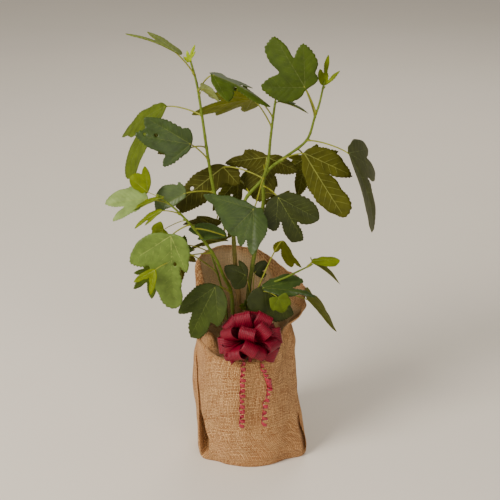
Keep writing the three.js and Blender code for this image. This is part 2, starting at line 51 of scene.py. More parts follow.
# Driving dimensions, the same as the part's source
SACK_WALL = 2.4
FRONT_RIM = 203
FLAP_TOP = 337
COMPOST_TOP = 175
ROOT_BALL_CLEAR = 1.8
RIBBON_WIDTH = 27
STALK_RADIUS = 1.5


# Small helpers
def vec(*numbers):
    return np.array(numbers, float)


def mix(a, b, share):
    return a + (b - a) * share


def ease(x, start, end):
    """0 before start, 1 after end, and smooth between them."""
    t = np.clip((x - start) / (end - start), 0, 1)
    return t * t * (3 - 2 * t)


def bell(x, middle, width):
    return np.exp(-(((x - middle) / width) ** 2))


def value_at(rows, place):
    """A value read off rows of places and values, smooth from each row to the next."""
    place = float(place)
    for (x0, y0), (x1, y1) in zip(rows, rows[1:]):
        if place < x1:
            return mix(y0, y1, ease(place, x0, x1))
    return rows[-1][1]


def unit(v):
    return v / np.linalg.norm(v)


def unit_rows(rows):
    """Each row brought to length 1."""
    return rows / np.maximum(np.linalg.norm(rows, axis=-1, keepdims=True), TINY)


def nearest(points, others):
    """Each point's distance to the nearest of some other points."""
    return np.sqrt(((points[:, None] - others[None]) ** 2).sum(2)).min(1)


def around(bearing, far):
    """The place at a bearing and a distance from the upright axis: 0 at the front, plus to the right."""
    turn = math.radians(bearing)
    return far * math.sin(turn), -far * math.cos(turn)


def bump(x, y, z=0.0):
    """Smooth noise between about -1 and 1, the same on every run."""
    return noise.noise(Vector((x, y, z)))


def round_bump(bearing, size, height):
    """Smooth noise round the upright axis, without a seam. A larger size makes it finer."""
    turn = math.radians(bearing)
    return bump(size * math.sin(turn), size * math.cos(turn), height)


# Meshes
class Shape:
    """Points and faces that are gathered up and made into one object."""

    def __init__(self):
        self.points = []
        self.faces = []
        self.slots = []
        self.maps = []

    def add(self, points, faces, slot=0, flat_map=None):
        start = len(self.points)
        self.points.extend(map(tuple, points))
        self.faces.extend(tuple(start + i for i in face) for face in faces)
        self.slots.extend([slot] * len(faces))
        self.maps.extend(flat_map if flat_map is not None else [(0.0, 0.0)] * len(points))

    def make(self, name, materials):
        mesh = bpy.data.meshes.new(name)
        mesh.from_pydata([tuple(MM * c for c in p) for p in self.points], [], self.faces)
        mesh.polygons.foreach_set("material_index", self.slots)
        mesh.polygons.foreach_set("use_smooth", [True] * len(self.faces))
        for material in materials:
            mesh.materials.append(material)
        layer = mesh.uv_layers.new(name="cloth")
        corner = np.empty(len(mesh.loops), int)
        mesh.loops.foreach_get("vertex_index", corner)
        layer.uv.foreach_set("vector", np.array(self.maps, np.float32)[corner].ravel())
        mesh.validate()
        obj = bpy.data.objects.new(name, mesh)
        bpy.context.scene.collection.objects.link(obj)
        return obj


def finished(obj, slot, *nodes):
    """The piece rides on the plant's one body and stands for the named nodes. Its slot is not used."""
    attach(obj, "root")
    if nodes:
        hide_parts(*nodes)


def grid_faces(rows, columns, closed=False):
    """Quads of a grid of points kept row by row. A closed grid joins its last column to its first."""
    faces = []
    for i in range(rows - 1):
        for j in range(columns if closed else columns - 1):
            k = (j + 1) % columns
            faces.append((i * columns + j, i * columns + k, (i + 1) * columns + k, (i + 1) * columns + j))
    return faces


# The least part of a tube's side way that may be left once it is turned square to the tube.
LEAST_SIDE = 0.2


def tube(shape, centres, radii, sides, relief=None):
    """A closed tube along some points. relief gives a share of the radius from a ring and a turn."""
    centres = np.asarray(centres, float)
    side = vec(1, 0, 0)
    points = []
    for i, centre in enumerate(centres):
        along = unit(centres[min(i + 1, len(centres) - 1)] - centres[max(i - 1, 0)])
        side = side - along * side.dot(along)
        if np.linalg.norm(side) < LEAST_SIDE:
            side = vec(0, 1, 0) - along * along[1]
        side = unit(side)
        other = np.cross(along, side)
        for j in range(sides):
            turn = 2 * math.pi * j / sides
            r = radii[i] * (relief(i, turn) if relief else 1)
            points.append(centre + r * (math.cos(turn) * side + math.sin(turn) * other))
    faces = grid_faces(len(centres), sides, closed=True)
    faces.append(tuple(reversed(range(sides))))
    faces.append(tuple(range((len(centres) - 1) * sides, len(centres) * sides)))
    shape.add(points, faces)


def grid_normals(middle):
    """The way that a grid of points faces at each point."""
    down = np.gradient(middle, axis=0)
    across = np.gradient(middle, axis=1)
    return unit_rows(np.cross(across, down))


def sheet_solid(shape, middle, thickness, flat_map=None):
    """A thin closed sheet round a grid of points, rows by columns."""
    middle = np.array(middle)
    rows, columns = middle.shape[:2]
    half = grid_normals(middle) * thickness / 2
    top = (middle + half).reshape(-1, 3)
    bottom = (middle - half).reshape(-1, 3)
    n = rows * columns
    faces = grid_faces(rows, columns)
    faces += [tuple(n + i for i in reversed(face)) for face in grid_faces(rows, columns)]
    rim = [(0, j) for j in range(columns)] + [(i, columns - 1) for i in range(1, rows)]
    rim += [(rows - 1, j) for j in range(columns - 2, -1, -1)] + [(i, 0) for i in range(rows - 2, 0, -1)]
    rim = [i * columns + j for i, j in rim]
    faces += [(a, n + a, n + b, b) for a, b in zip(rim, rim[1:] + rim[:1])]
    maps = list(flat_map) * 2 if flat_map is not None else None
    shape.add(np.vstack([top, bottom]), faces, flat_map=maps)


# Materials
class Nodes:
    """A material's node tree, with short calls to add nodes and join them."""

    def __init__(self, name):
        self.material = bpy.data.materials.new(name)
        self.material.use_nodes = True
        self.tree = self.material.node_tree
        self.shader = self.tree.nodes["Principled BSDF"]

    def new(self, kind, inputs=None, **settings):
        node = self.tree.nodes.new(kind)
        for key, value in settings.items():
            setattr(node, key, value)
        for key, value in (inputs or {}).items():
            self.give(node.inputs[key], value)
        return node

    def give(self, socket, value):
        if isinstance(value, bpy.types.NodeSocket):
            self.tree.links.new(value, socket)
        else:
            socket.default_value = value

    def math(self, operation, a, b=0.0):
        node = self.new("ShaderNodeMath", operation=operation)
        self.give(node.inputs[0], a)
        self.give(node.inputs[1], b)
        return node.outputs[0]

    def add(self, a, b):
        return self.math("ADD", a, b)

    def times(self, a, b):
        return self.math("MULTIPLY", a, b)

    def ridges(self, value):
        """Rounded ridges with a groove at every whole number."""
        return self.math("ABSOLUTE", self.math("SINE", self.times(value, math.pi)))

    def blend(self, share, a, b):
        """A colour between a and b."""
        node = self.new("ShaderNodeMix", data_type="RGBA")
        self.give(node.inputs[0], share)
        self.give(node.inputs[6], a)
        self.give(node.inputs[7], b)
        return node.outputs[2]

    def noise(self, vector, scale, detail=3.0, roughness=0.55):
        inputs = {"Vector": vector, "Scale": scale, "Detail": detail, "Roughness": roughness}
        return self.new("ShaderNodeTexNoise", inputs).outputs["Fac"]

    def place(self):
        return self.new("ShaderNodeTexCoord").outputs["Object"]

    def stretched(self, vector, scale):
        return self.new("ShaderNodeMapping", {"Vector": vector, "Scale": scale}).outputs[0]

    def ramp(self, value, low, high):
        """value spread so that low becomes 0 and high becomes 1."""
        inputs = {"Value": value, "From Min": low, "From Max": high}
        return self.new("ShaderNodeMapRange", inputs).outputs[0]

    def relief(self, height, strength, distance):
        inputs = {"Height": height, "Strength": strength, "Distance": distance}
        self.give(self.shader.inputs["Normal"], self.new("ShaderNodeBump", inputs).outputs[0])

    def surface(self, **inputs):
        for key, value in inputs.items():
            self.give(self.shader.inputs[key.replace("_", " ")], value)
        return self.material


def rgba(r, g, b):
    return (r, g, b, 1.0)


# The weave: the threads' spacing, how much and how far round the cross threads sag, and how both wander.
THREAD = 2.8
WEAVE_BOW = 0.0035
WEAVE_REACH = 85
WANDER = 4.0
WANDER_SCALE = (0.05, 0.05, 1)
# The weave keeps this share of its height between threads, and gains the second one at their crests.
GAP_HEIGHT = 0.35
CROSSING_HEIGHT = 1.3
# Threads of either way keep their tone for a long stretch.
UPRIGHT_TONES = (0.5, 0.03, 1.0)
LEVEL_TONES = (0.03, 0.5, 1.0)
# Lengths along the cloth where it turns over the flap's rim to its inner side. There the cloth gets painted
# light: it is blended by a share towards a pale colour.
INNER_CLOTH = (424, 442)
INNER_PAINTED_LIGHT = 0.5
# The cloth's colours
THREAD_DARK = rgba(0.36, 0.142, 0.038)
THREAD_PALE = rgba(0.98, 0.59, 0.25)
PATCH = rgba(0.6, 0.26, 0.08)
# Painted shade: the dark colour where the weave is low, between the threads.
SHADE_BETWEEN_THREADS = rgba(0.17, 0.06, 0.016)
# Painted light: the pale colour that the flap's inner side is blended towards.
INNER_SIDE_PAINTED_LIGHT = rgba(1.0, 0.8, 0.46)


def hessian_material():
    """Woven threads on the cloth's own map. The cross threads sag at the front, as the cloth is pulled."""
    n = Nodes("hessian")
    flat = n.new("ShaderNodeUVMap", uv_map="cloth").outputs[0]
    split = n.new("ShaderNodeSeparateXYZ", {"Vector": flat})
    limits = {"Value": split.outputs[0], "Min": -WEAVE_REACH, "Max": WEAVE_REACH}
    sag = n.times(n.math("POWER", n.new("ShaderNodeClamp", limits).outputs[0], 2.0), WEAVE_BOW)
    wander = n.times(n.noise(n.stretched(flat, WANDER_SCALE), 1.0, 2), WANDER)
    across = n.math("DIVIDE", n.add(split.outputs[0], wander), THREAD)
    along = n.math("DIVIDE", n.add(n.add(split.outputs[1], sag), wander), THREAD)
    warp = n.ridges(across)
    weft = n.ridges(along)
    square = n.add(n.math("FLOOR", across), n.math("FLOOR", along))
    over = n.math("ABSOLUTE", n.math("MODULO", square, 2.0))
    under = n.math("SUBTRACT", 1.0, over)
    height = n.add(n.times(warp, over), n.times(weft, under))
    height = n.times(height, n.add(GAP_HEIGHT, n.times(n.times(warp, weft), CROSSING_HEIGHT)))
    upright = n.noise(n.stretched(flat, UPRIGHT_TONES), 1.0, 2)
    level = n.noise(n.stretched(flat, LEVEL_TONES), 1.0, 2)
    thread = n.add(n.times(upright, over), n.times(level, under))
    patches = n.noise(n.place(), 9.0, 3)
    tone = n.blend(n.ramp(thread, 0.37, 0.63), THREAD_DARK, THREAD_PALE)
    tone = n.blend(n.times(n.ramp(patches, 0.42, 0.8), 0.6), tone, PATCH)
    # Painted shade: the colour darkens where the weave's height is low, between the threads.
    colour = n.blend(n.ramp(height, 0.0, 0.55), SHADE_BETWEEN_THREADS, tone)
    # Painted light: the flap's inner side, gaps and all, is blended towards a pale colour.
    inner = n.ramp(split.outputs[1], *INNER_CLOTH)
    colour = n.blend(n.times(inner, INNER_PAINTED_LIGHT), colour, INNER_SIDE_PAINTED_LIGHT)
    n.relief(n.add(height, n.times(thread, 0.6)), 0.9, 0.0012)
    return n.surface(
        Base_Color=colour, Roughness=0.95, Sheen_Weight=0.1, Sheen_Roughness=0.6, Specular_IOR_Level=0.1
    )


def compost_material():
    n = Nodes("compost")
    grains = n.noise(n.place(), 320.0, 4)
    lumps = n.noise(n.place(), 60.0, 3)
    colour = n.blend(n.ramp(grains, 0.3, 0.72), rgba(0.018, 0.011, 0.007), rgba(0.11, 0.068, 0.04))
    colour = n.blend(n.ramp(lumps, 0.5, 0.8), colour, rgba(0.05, 0.03, 0.018))
    n.relief(grains, 0.8, 0.002)
    return n.surface(Base_Color=colour, Roughness=0.95, Specular_IOR_Level=0.2)


# The dark mottles of a stem's bark, as shares of its colours at its foot and at its top.
DARK_FOOT = 0.45
DARK_TOP = 0.6


def bark_material(name, foot, top, low, high):
    """A stem that is woody and brown at its foot and turns green between two heights."""
    n = Nodes(name)
    place = n.place()
    height = n.new("ShaderNodeSeparateXYZ", {"Vector": place}).outputs[2]
    mottle = n.noise(place, 240.0, 4)
    streaks = n.noise(n.stretched(place, (1.0, 1.0, 0.12)), 420.0, 3)
    wander = n.times(n.math("SUBTRACT", n.noise(place, 45.0), 0.5), 0.08)
    green = n.ramp(n.add(height, wander), low * MM, high * MM)
    colour = n.blend(green, rgba(*foot), rgba(*top))
    dark = n.blend(green, rgba(*[DARK_FOOT * c for c in foot]), rgba(*[DARK_TOP * c for c in top]))
    colour = n.blend(n.ramp(mottle, 0.4, 0.75), colour, dark)
    n.relief(n.add(mottle, streaks), 0.5, 0.0006)
    return n.surface(Base_Color=colour, Roughness=0.62, Specular_IOR_Level=0.22)


# A leaf's darker mottles lose this share of its colour, and its lighter ones gain half as much.
MOTTLE = 0.3


def leaf_material(name, colour, roughness, shine=0.28):
    """A leaf face of one base colour, lightly mottled, with a fine grain."""
    n = Nodes(name)
    place = n.place()
    mottle = n.noise(place, 70.0, 3)
    darker = rgba(*[(1 - MOTTLE) * c for c in colour])
    lighter = rgba(*[(1 + 0.5 * MOTTLE) * c for c in colour])
    tone = n.blend(n.ramp(mottle, 0.3, 0.7), darker, lighter)
    grain = n.noise(place, 700.0, 2)
    n.relief(grain, 0.25, 0.0004)
    return n.surface(Base_Color=tone, Roughness=roughness, Specular_IOR_Level=shine)


# Spacing of the ribbon's ribs along it, and of the finer ones across.
RIB = 2.9
CROSS_RIB = 1.3


def ribbon_material():
    n = Nodes("ribbon")
    flat = n.new("ShaderNodeUVMap", uv_map="cloth").outputs[0]
    split = n.new("ShaderNodeSeparateXYZ", {"Vector": flat})
    ribs = n.math("SINE", n.times(split.outputs[1], 2 * math.pi / RIB))
    cross = n.math("SINE", n.times(split.outputs[0], 2 * math.pi / CROSS_RIB))
    slubs = n.noise(n.stretched(flat, (0.08, 0.9, 1)), 1.0, 2)
    # Painted shade: the ribs' grooves are darker. The slubs vary the tone at random.
    tone = n.add(n.times(ribs, 0.5), n.ramp(slubs, 0.3, 0.7))
    colour = n.blend(n.ramp(tone, -0.4, 1.4), rgba(0.05, 0.0003, 0.005), rgba(0.27, 0.0015, 0.023))
    height = n.add(ribs, n.add(n.times(cross, 0.3), slubs))
    n.relief(height, 0.45, 0.0005)
    return n.surface(Base_Color=colour, Roughness=0.38, Specular_IOR_Level=0.24)


def curl_material():
    n = Nodes("curling_ribbon")
    fibres = n.noise(n.stretched(n.place(), (1, 1, 0.4)), 900.0, 2)
    colour = n.blend(n.ramp(fibres, 0.3, 0.7), rgba(0.19, 0.0008, 0.012), rgba(0.44, 0.004, 0.038))
    n.relief(fibres, 0.15, 0.0002)
    return n.surface(
        Base_Color=colour, Roughness=0.28, Specular_IOR_Level=0.4, Coat_Weight=0.5, Coat_Roughness=0.12
    )


def floor_material():
    n = Nodes("floor")
    patches = n.noise(n.place(), 1.4, 4)
    colour = n.blend(patches, rgba(0.72, 0.66, 0.58), rgba(0.78, 0.72, 0.64))
    return n.surface(Base_Color=colour, Roughness=0.85, Specular_IOR_Level=0.2)


# Sack: rows of a height and the mean outer radius there.
PROFILE = [
    (0, 85), (25, 88), (70, 89), (120, 88), (165, 85), (203, 82),
    (235, 77), (262, 84), (292, 97), (322, 101), (352, 97),
]
# The foot's two front corners: bearing, how far they stand out, and half width in degrees.
CORNERS = [(-57, 15, 13), (65, 20, 13)]
CORNER_HEIGHT = 150
# On the right the cloth is drawn in at the neck and stands out above it as a wing.
DRAPES = [
    {"bearing": 100, "height": 256, "reach": 14, "width": 15, "tall": 18},
    {"bearing": 80, "height": 237, "reach": -9, "width": 26, "tall": 11},
]
# Gathers, which come in between two heights: how many go round, their depth and their turn.
GATHERS = [(9, 1.4, 0.4), (14, 1.0, 1.1)]
GATHERED = (120, 230)
# Wide waves of the flap, which come in between two heights.
WAVES = {"count": 5, "depth": 3, "from": 240, "to": 320}
# The sack leans to the left half-way up: rows of a height and how far it leans there.
LEAN = [(0, 0), (70, 4), (120, 8), (180, 8), (215, 6), (262, 0), (352, 0)]
# The rim's height round the sack: low in front, then up over the neck and the wing to the flap at the back.
RIM = [
    (-180, 331), (-150, FLAP_TOP), (-114, 335), (-84, 208), (-40, FRONT_RIM),
    (24, FRONT_RIM), (62, 250), (104, 292), (138, 297), (180, 331),
]


def profile_radius(z):
    """The sack's mean outer radius at a height."""
    return value_at(PROFILE, z)


def rim_height(bearing):
    return value_at(RIM, bearing)


def sack_radius(bearing, z):
    turn = math.radians(bearing)
    r = profile_radius(z)
    for middle, reach_out, width in CORNERS:
        r += reach_out * bell(bearing, middle, width) * (1 - ease(z, 0, CORNER_HEIGHT))
    for drape in DRAPES:
        beside = bell(bearing, drape["bearing"], drape["width"])
        r += drape["reach"] * beside * bell(z, drape["height"], drape["tall"])
    for count, depth, turned in GATHERS:
        r += ease(z, *GATHERED) * depth * math.cos(count * turn + turned)
    r -= value_at(LEAN, z) * math.sin(turn)
    return r + ease(z, WAVES["from"], WAVES["to"]) * WAVES["depth"] * math.cos(WAVES["count"] * turn)


# Finer folds of the cloth: bearing, lowest and highest height, depth (minus is inwards) and half width in
# degrees.
FOLDS = [
    (-90, 92, 204, 3, 9), (-30, 0, 60, 2, 8), (8, 25, 190, -2.6, 13), (-28, 60, 205, 1.5, 12),
    (34, 40, 200, 1.5, 11), (48, 150, 250, -3, 7), (72, 130, 240, 2.5, 8), (118, 20, 200, -4, 5),
    (-122, 25, 190, -4, 6), (160, 30, 210, 3, 9), (-160, 40, 215, -3, 8), (92, 40, 190, -3, 5),
    (-98, 30, 160, -3, 5),
]
# Beside each front corner the cloth folds in behind the front panel. Each row is a height, then how far to
# the side the panel ends or the outer fold begins, or how far back the cloth between them is set.
POCKETS = [
    {
        "side": -1,
        "panel": [(0, 68), (40, 69), (66, 75), (96, 81), (150, 86), (205, 88), (352, 88)],
        "fold": [(0, 85), (40, 87), (66, 87), (96, 87), (150, 90), (205, 93), (352, 93)],
        "depth": [(3, 0), (16, 24), (40, 32), (64, 28), (92, 10), (192, 6), (212, 0), (352, 0)],
    },
    {
        "side": 1,
        "panel": [(0, 91), (20, 89), (75, 79), (92, 77), (352, 77)],
        "fold": [(0, 97), (20, 97), (75, 85), (92, 81), (352, 81)],
        "depth": [(4, 0), (14, 16), (40, 20), (70, 9), (92, 0), (352, 0)],
    },
]
PANEL_EDGE = 3
# The outer fold comes forward again from this share of the pocket's width.
FOLD_FROM = 0.55
# Pockets fade out over this far from the sack's sides.
POCKET_FRONT = 30


def set_back(x, y, z):
    """How far a pocket sets the cloth back from the front at a place."""
    back = 0.0
    for rows in POCKETS:
        across = rows["side"] * x
        panel = value_at(rows["panel"], z)
        fold = value_at(rows["fold"], z)
        edge = min(PANEL_EDGE, (fold - panel) / 2)
        opening = ease(across, panel, panel + edge) * (1 - ease(across, mix(panel, fold, FOLD_FROM), fold))
        back += value_at(rows["depth"], z) * opening
    return back * ease(-y, 0, POCKET_FRONT)


# A fold grows from this far below its lowest height to a little above it, and fades round its highest.
FOLD_END = 26
ABOVE_LOWEST = 4
ABOVE_HIGHEST = 8
# Wrinkles from noise, finer ones last: depth, how fine they are round the sack, their height and a shift.
WRINKLES = [(1.3, 3.04, 55, 0), (0.6, 7.6, 38, 7)]
WRINKLED = (4, 30)
# At the bow's height the cloth is gathered and more wrinkled.
NECK = {"height": 226, "tall": 26, "depth": 2.2, "size": 11.4, "stretch": 60, "shift": 20}


def cloth_radius(bearing, z):
    """The sack's outer radius with its finer folds and wrinkles."""
    r = sack_radius(bearing, z)
    for middle, low, high, depth, width in FOLDS:
        begun = ease(z, low - FOLD_END, low + ABOVE_LOWEST)
        full = begun * (1 - ease(z, high - FOLD_END, high + ABOVE_HIGHEST))
        r += depth * bell(bearing, middle, width) * full
    for depth, size, tall, shift in WRINKLES:
        r += ease(z, *WRINKLED) * depth * round_bump(bearing, size, z / tall + shift)
    gathered = bell(z, NECK["height"], NECK["tall"]) * NECK["depth"]
    return r + gathered * round_bump(bearing, NECK["size"], z / NECK["stretch"] + NECK["shift"])


# The rim is a soft roll of cloth, thicker in front and at some bearings: bearing, extra radius and width.
ROLL = {"least": 1.3, "front": 3.2, "middle": -20, "fades": (50, 80)}
THICKER = [(-56, 2.2, 20), (-103, 6.5, 11)]


def roll_radius(bearing):
    r = ROLL["least"] + ROLL["front"] * (1 - ease(abs(bearing - ROLL["middle"]), *ROLL["fades"]))
    for middle, extra, width in THICKER:
        r += extra * bell(bearing, middle, width)
    return r


# The cloth's thickness below the rolled rim.
CLOTH = 1.7
# The cloth is tucked in over the compost and leaves a round opening where the stems come up.
COLLAR = {"height": 196, "inner": 50, "fall": 6, "pleats": 15, "depth": 2.6}
# At the left the tucked cloth swells up towards the flap.
SWELL = {"bearing": -80, "width": 24, "height": 24}
# Heights of the rings of the cloth's hidden inner side and of the compost behind it.
HIDDEN_RINGS = (160, 140, 120, 105, 92, 80, 70, 60, 50, 40, 30, 20, 12)
INNER_GAP = 3
# The inner side begins this many of the roll's radii below the rim.
INSIDE_TOP = 2.1
INSIDE_ROWS = 24
COLLAR_SHARES = np.linspace(0.12, 1, 9)
# The collar's lift stays at its height from this share inwards.
LIFT_UNTIL = 0.8
SACK_COLUMNS = 460
# Columns stand closer at the sharp folds: bearing and half width in degrees.
FOLD_DENSITY = 3.0
FOLDED = [(-50, 13), (-68, 6), (60, 11)]
# The closed floor's rings as shares of its radius, and the foot's rounded edge.
FLOOR_SHARES = (0.0, 0.5, 0.85)
FOOT = {"inset": 3, "from": 1.2, "round": 2.2, "tall": 6}
BODY_ROWS = 62
ROLL_TURNS = [20, 50, 80, 110, 140, 170, 200]


def sack_bearings():
    """Bearings all the way round, set closer together at the sharp folds."""
    fine = np.linspace(-180, 180, 3601)
    density = np.ones_like(fine)
    for middle, width in FOLDED:
        density += FOLD_DENSITY * bell(fine, middle, width)
    total = np.concatenate([[0], np.cumsum((density[1:] + density[:-1]) / 2)])
    return np.interp(np.linspace(0, total[-1], SACK_COLUMNS, endpoint=False), total, fine)


# The rim's unevenness in front and at the flap, and the heights between which it changes.
FRAY = (1.5, 3.5)
FRAY_FROM = (232, 300)
FRAY_LOWER = 0.4


def frayed_rim(bearing):
    """The rim's height with its soft unevenness."""
    wave = round_bump(bearing, 3, 3) + 0.5 * round_bump(bearing, 9, 5)
    flap = ease(rim_height(bearing), *FRAY_FROM)
    return rim_height(bearing) + mix(*FRAY, flap) * (wave - FRAY_LOWER)


def collar_column(bearing, wall):
    """Places from the wall to the opening round the stems, where the cloth is tucked in."""
    turn = math.radians(bearing)
    pleat = math.sin(COLLAR["pleats"] * turn + 2 * math.sin(3 * turn)) + round_bump(bearing, 4, 0.0)
    lift = COLLAR["depth"] * pleat + SWELL["height"] * bell(bearing, SWELL["bearing"], SWELL["width"])
    places = []
    for share in COLLAR_SHARES:
        lifted = lift * math.sin(math.pi * min(share, LIFT_UNTIL))
        z = COLLAR["height"] - COLLAR["fall"] * share + lifted
        places.append((mix(wall, COLLAR["inner"], share), z))
    return places


def sack_column(bearing):
    """Places along one line of the sack, as distance from the axis and height: out over its floor, up its
    outside, over the rim, down its inside, in over the collar, and back down out of sight."""
    rim = frayed_rim(bearing)
    roll = roll_radius(bearing)
    start = cloth_radius(bearing, 0)
    places = [(share * start, 0.0) for share in FLOOR_SHARES] + [(start - FOOT["inset"], 0.0)]
    for share in np.linspace(0, 1, BODY_ROWS):
        z = mix(FOOT["from"], rim - roll, share)
        places.append((cloth_radius(bearing, z) - FOOT["round"] * (1 - ease(z, 0, FOOT["tall"])), z))
    edge = places[-1][0]
    for turn in ROLL_TURNS:
        angle = math.radians(turn)
        places.append((edge - roll + roll * math.cos(angle), rim - roll + roll * math.sin(angle)))
    for share in np.linspace(0, 1, INSIDE_ROWS):
        z = mix(rim - INSIDE_TOP * roll, COLLAR["height"], share)
        places.append((cloth_radius(bearing, z) - CLOTH, z))
    wall = places[-1][0]
    places += collar_column(bearing, wall)
    under = COMPOST_TOP + 1.5
    places += [(COLLAR["inner"] + 0.5, under), (wall - 4, under)]
    places += [(cloth_radius(bearing, z) - INNER_GAP, z) for z in HIDDEN_RINGS]
    return places + [(start - 14, SACK_WALL), (0.0, SACK_WALL)]


# The radius that turns the map's way round into millimetres. Rings smaller than NARROW keep plain bearings.
MEAN_RADIUS = 88.0
NARROW = 50


def cloth_map(turns, columns, points):
    """The cloth laid flat: round by each ring's length with its folds, and up by each column's length."""
    steps = np.linalg.norm(np.diff(columns, axis=1), axis=2)
    up = np.concatenate([np.zeros((len(turns), 1)), np.cumsum(steps, axis=1)], axis=1).T
    round_steps = np.linalg.norm(np.diff(points[:, :, :2], axis=1, append=points[:, :1, :2]), axis=2)
    total = np.maximum(round_steps.sum(axis=1, keepdims=True), 1e-6)
    share = (np.cumsum(round_steps, axis=1) - round_steps) / total
    folded = (share - 0.5) * 2 * math.pi
    wide = total > 2 * math.pi * NARROW
    round_it = np.where(wide, folded, np.tile(turns, (len(points), 1)))
    return np.stack([round_it * MEAN_RADIUS, up], axis=2).reshape(-1, 2).tolist()


def sack():
    shape = Shape()
    bearings = sack_bearings()
    columns = [sack_column(b) for b in bearings]
    rows = len(columns[0])
    points = []
    for i in range(rows):
        for j, bearing in enumerate(bearings):
            far, z = columns[j][i]
            x, y = around(bearing, far)
            points.append((x, y + set_back(x, y, z), z))
    flat_map = cloth_map(np.radians(bearings), np.array(columns), np.array(points).reshape(rows, -1, 3))
    faces = grid_faces(rows, len(bearings), closed=True)
    shape.add(points, faces, 0, flat_map)
    obj = shape.make("sack_cloth", [hessian_material()])
    weld(obj)
    close_seam(obj, 2 * math.pi * MEAN_RADIUS)
    finished(obj, "hessian", "hessian_sack")


def weld(obj):
    """Joins points that lie at the same place, such as a lathe's middle, and drops faces without area."""
    bm = bmesh.new()
    bm.from_mesh(obj.data)
    bmesh.ops.remove_doubles(bm, verts=bm.verts, dist=1e-6)
    bmesh.ops.dissolve_degenerate(bm, edges=bm.edges, dist=1e-7)
    bmesh.ops.recalc_face_normals(bm, faces=bm.faces)
    bm.to_mesh(obj.data)
    bm.free()


def close_seam(obj, length):
    """Keeps the map running on across the back seam, where the bearing jumps from 180 to -180."""
    mesh = obj.data
    layer = mesh.uv_layers["cloth"].uv
    flat = np.empty(2 * len(mesh.loops), np.float32)
    layer.foreach_get("vector", flat)
    flat = flat.reshape(-1, 2)
    for face in mesh.polygons:
        corners = range(face.loop_start, face.loop_start + face.loop_total)
        u = flat[corners.start : corners.stop, 0]
        if u.max() - u.min() > length / 2:
            u[u < 0] += length
    layer.foreach_set("vector", flat.ravel())


# Root ball
CLODS = 170
CLOD_REACH = 62
COMPOST_RINGS = (0, 0.12, 0.25, 0.38, 0.5, 0.62, 0.73, 0.83, 0.92, 1.0)
COMPOST_SIDES = 96
# The compost keeps clear of the nearest cloth within these degrees to either side.
NEARBY = (-6, -3, 0, 3, 6)


def compost():
    """The compost that fills the sack, with a crumbly top that the stems stand in."""
    shape = Shape()
    sides = COMPOST_SIDES
    bearings = [360 * j / sides - 180 for j in range(sides)]
    clear = SACK_WALL + ROOT_BALL_CLEAR
    points = []
    for share in COMPOST_RINGS:
        for bearing in bearings:
            x, y = around(bearing, share * (sack_radius(bearing, COMPOST_TOP) - clear))
            z = COMPOST_TOP - 1.5 + 1.8 * bump(x / 14, y / 14) + 1.2 * bump(x / 5, y / 5, 4)
            points.append((x, y, z))
    heights = [*HIDDEN_RINGS, SACK_WALL + 0.6]
    for z in heights:
        for bearing in bearings:
            cloth = min(cloth_radius(bearing + aside, z) for aside in NEARBY)
            x, y = around(bearing, cloth - clear - INNER_GAP)
            points.append((x, y + set_back(x, y, z), z))
    rows = len(COMPOST_RINGS) + len(heights)
    faces = [tuple(reversed(f)) for f in grid_faces(rows, sides, closed=True)]
    faces.append(tuple(range((rows - 1) * sides, rows * sides)))
    shape.add(points, faces)
    rng = random.Random(11)
    for _ in range(CLODS):
        clod(shape, rng)
    obj = shape.make("compost", [compost_material()])
    weld(obj)
    finished(obj, "compost", "root_ball")


def clod(shape, rng):
    """One crumb or chip, half sunk in the compost."""
    r = CLOD_REACH * math.sqrt(rng.random())
    turn = rng.uniform(0, 2 * math.pi)
    middle = vec(r * math.cos(turn), r * math.sin(turn), COMPOST_TOP - 0.6)
    size = vec(rng.uniform(1.4, 4.2), rng.uniform(1.4, 3.4), rng.uniform(0.9, 2.2))
    spin = rng.uniform(0, math.pi)
    across = vec(math.cos(spin), math.sin(spin), 0)
    other = vec(-math.sin(spin), math.cos(spin), 0)
    points = []
    for lift, width in ((-1.0, 0.45), (-0.2, 1.0), (0.55, 0.8), (1.0, 0.3)):
        for k in range(6):
            angle = math.pi / 3 * k
            reach_out = width * rng.uniform(0.8, 1.15)
            points.append(
                middle
                + across * size[0] * reach_out * math.cos(angle)
                + other * size[1] * reach_out * math.sin(angle)
                + UP * size[2] * lift
            )
    faces = grid_faces(4, 6, closed=True) + [tuple(reversed(range(6))), tuple(range(18, 24))]
    shape.add(points, faces)


# Stems: the same smooth curves as the source's, each with a radius at its foot and at its tip.
STEMS = {
    "trunk": ([(-14, 9, 168), (-18, 6, 262), (-24, 6, 330), (-27, 8, 388)], 4.8, 3.5),
    "left": (
        [
            (-27, 8, 388), (-45, 2, 430), (-57, -2, 466), (-66, 0, 522),
            (-75, 4, 592), (-82, 8, 640), (-91, 10, 676),
        ],
        3.2, 1.6,
    ),
    "right": (
        [
            (-27, 8, 388), (-8, 16, 446), (16, 24, 474), (33, 26, 498), (56, 26, 516),
            (90, 24, 545), (102, 22, 583), (109, 20, 607), (115, 20, 638),
        ],
        3.0, 1.5,
    ),
    "centre": (
        [
            (3, 4, 168), (-4, 1, 265), (8, -2, 364), (21, -4, 446),
            (21, -4, 484), (29, -4, 520), (32, -4, 556), (39, 0, 615),
        ],
        4.0, 1.8,
    ),
    "low_left": (
        [
            (-30, -2, 168), (-30, -6, 280), (-44, -22, 330), (-60, -38, 376),
            (-88, -52, 424), (-114, -60, 458), (-140, -66, 484),
        ],
        3.5, 1.3,
    ),
    "low_right": ([(2, -16, 168), (4, -14, 270), (20, -20, 305), (60, -28, 330), (96, -34, 352)], 2.9, 1.2),
    "slender": ([(-34, 16, 168), (-40, 8, 250), (-50, 0, 309), (-65, -6, 366)], 2.2, 1.3),
}
FLARE = {"from": 172, "to": 205, "extra": 2.2}
TENSION = 0.5


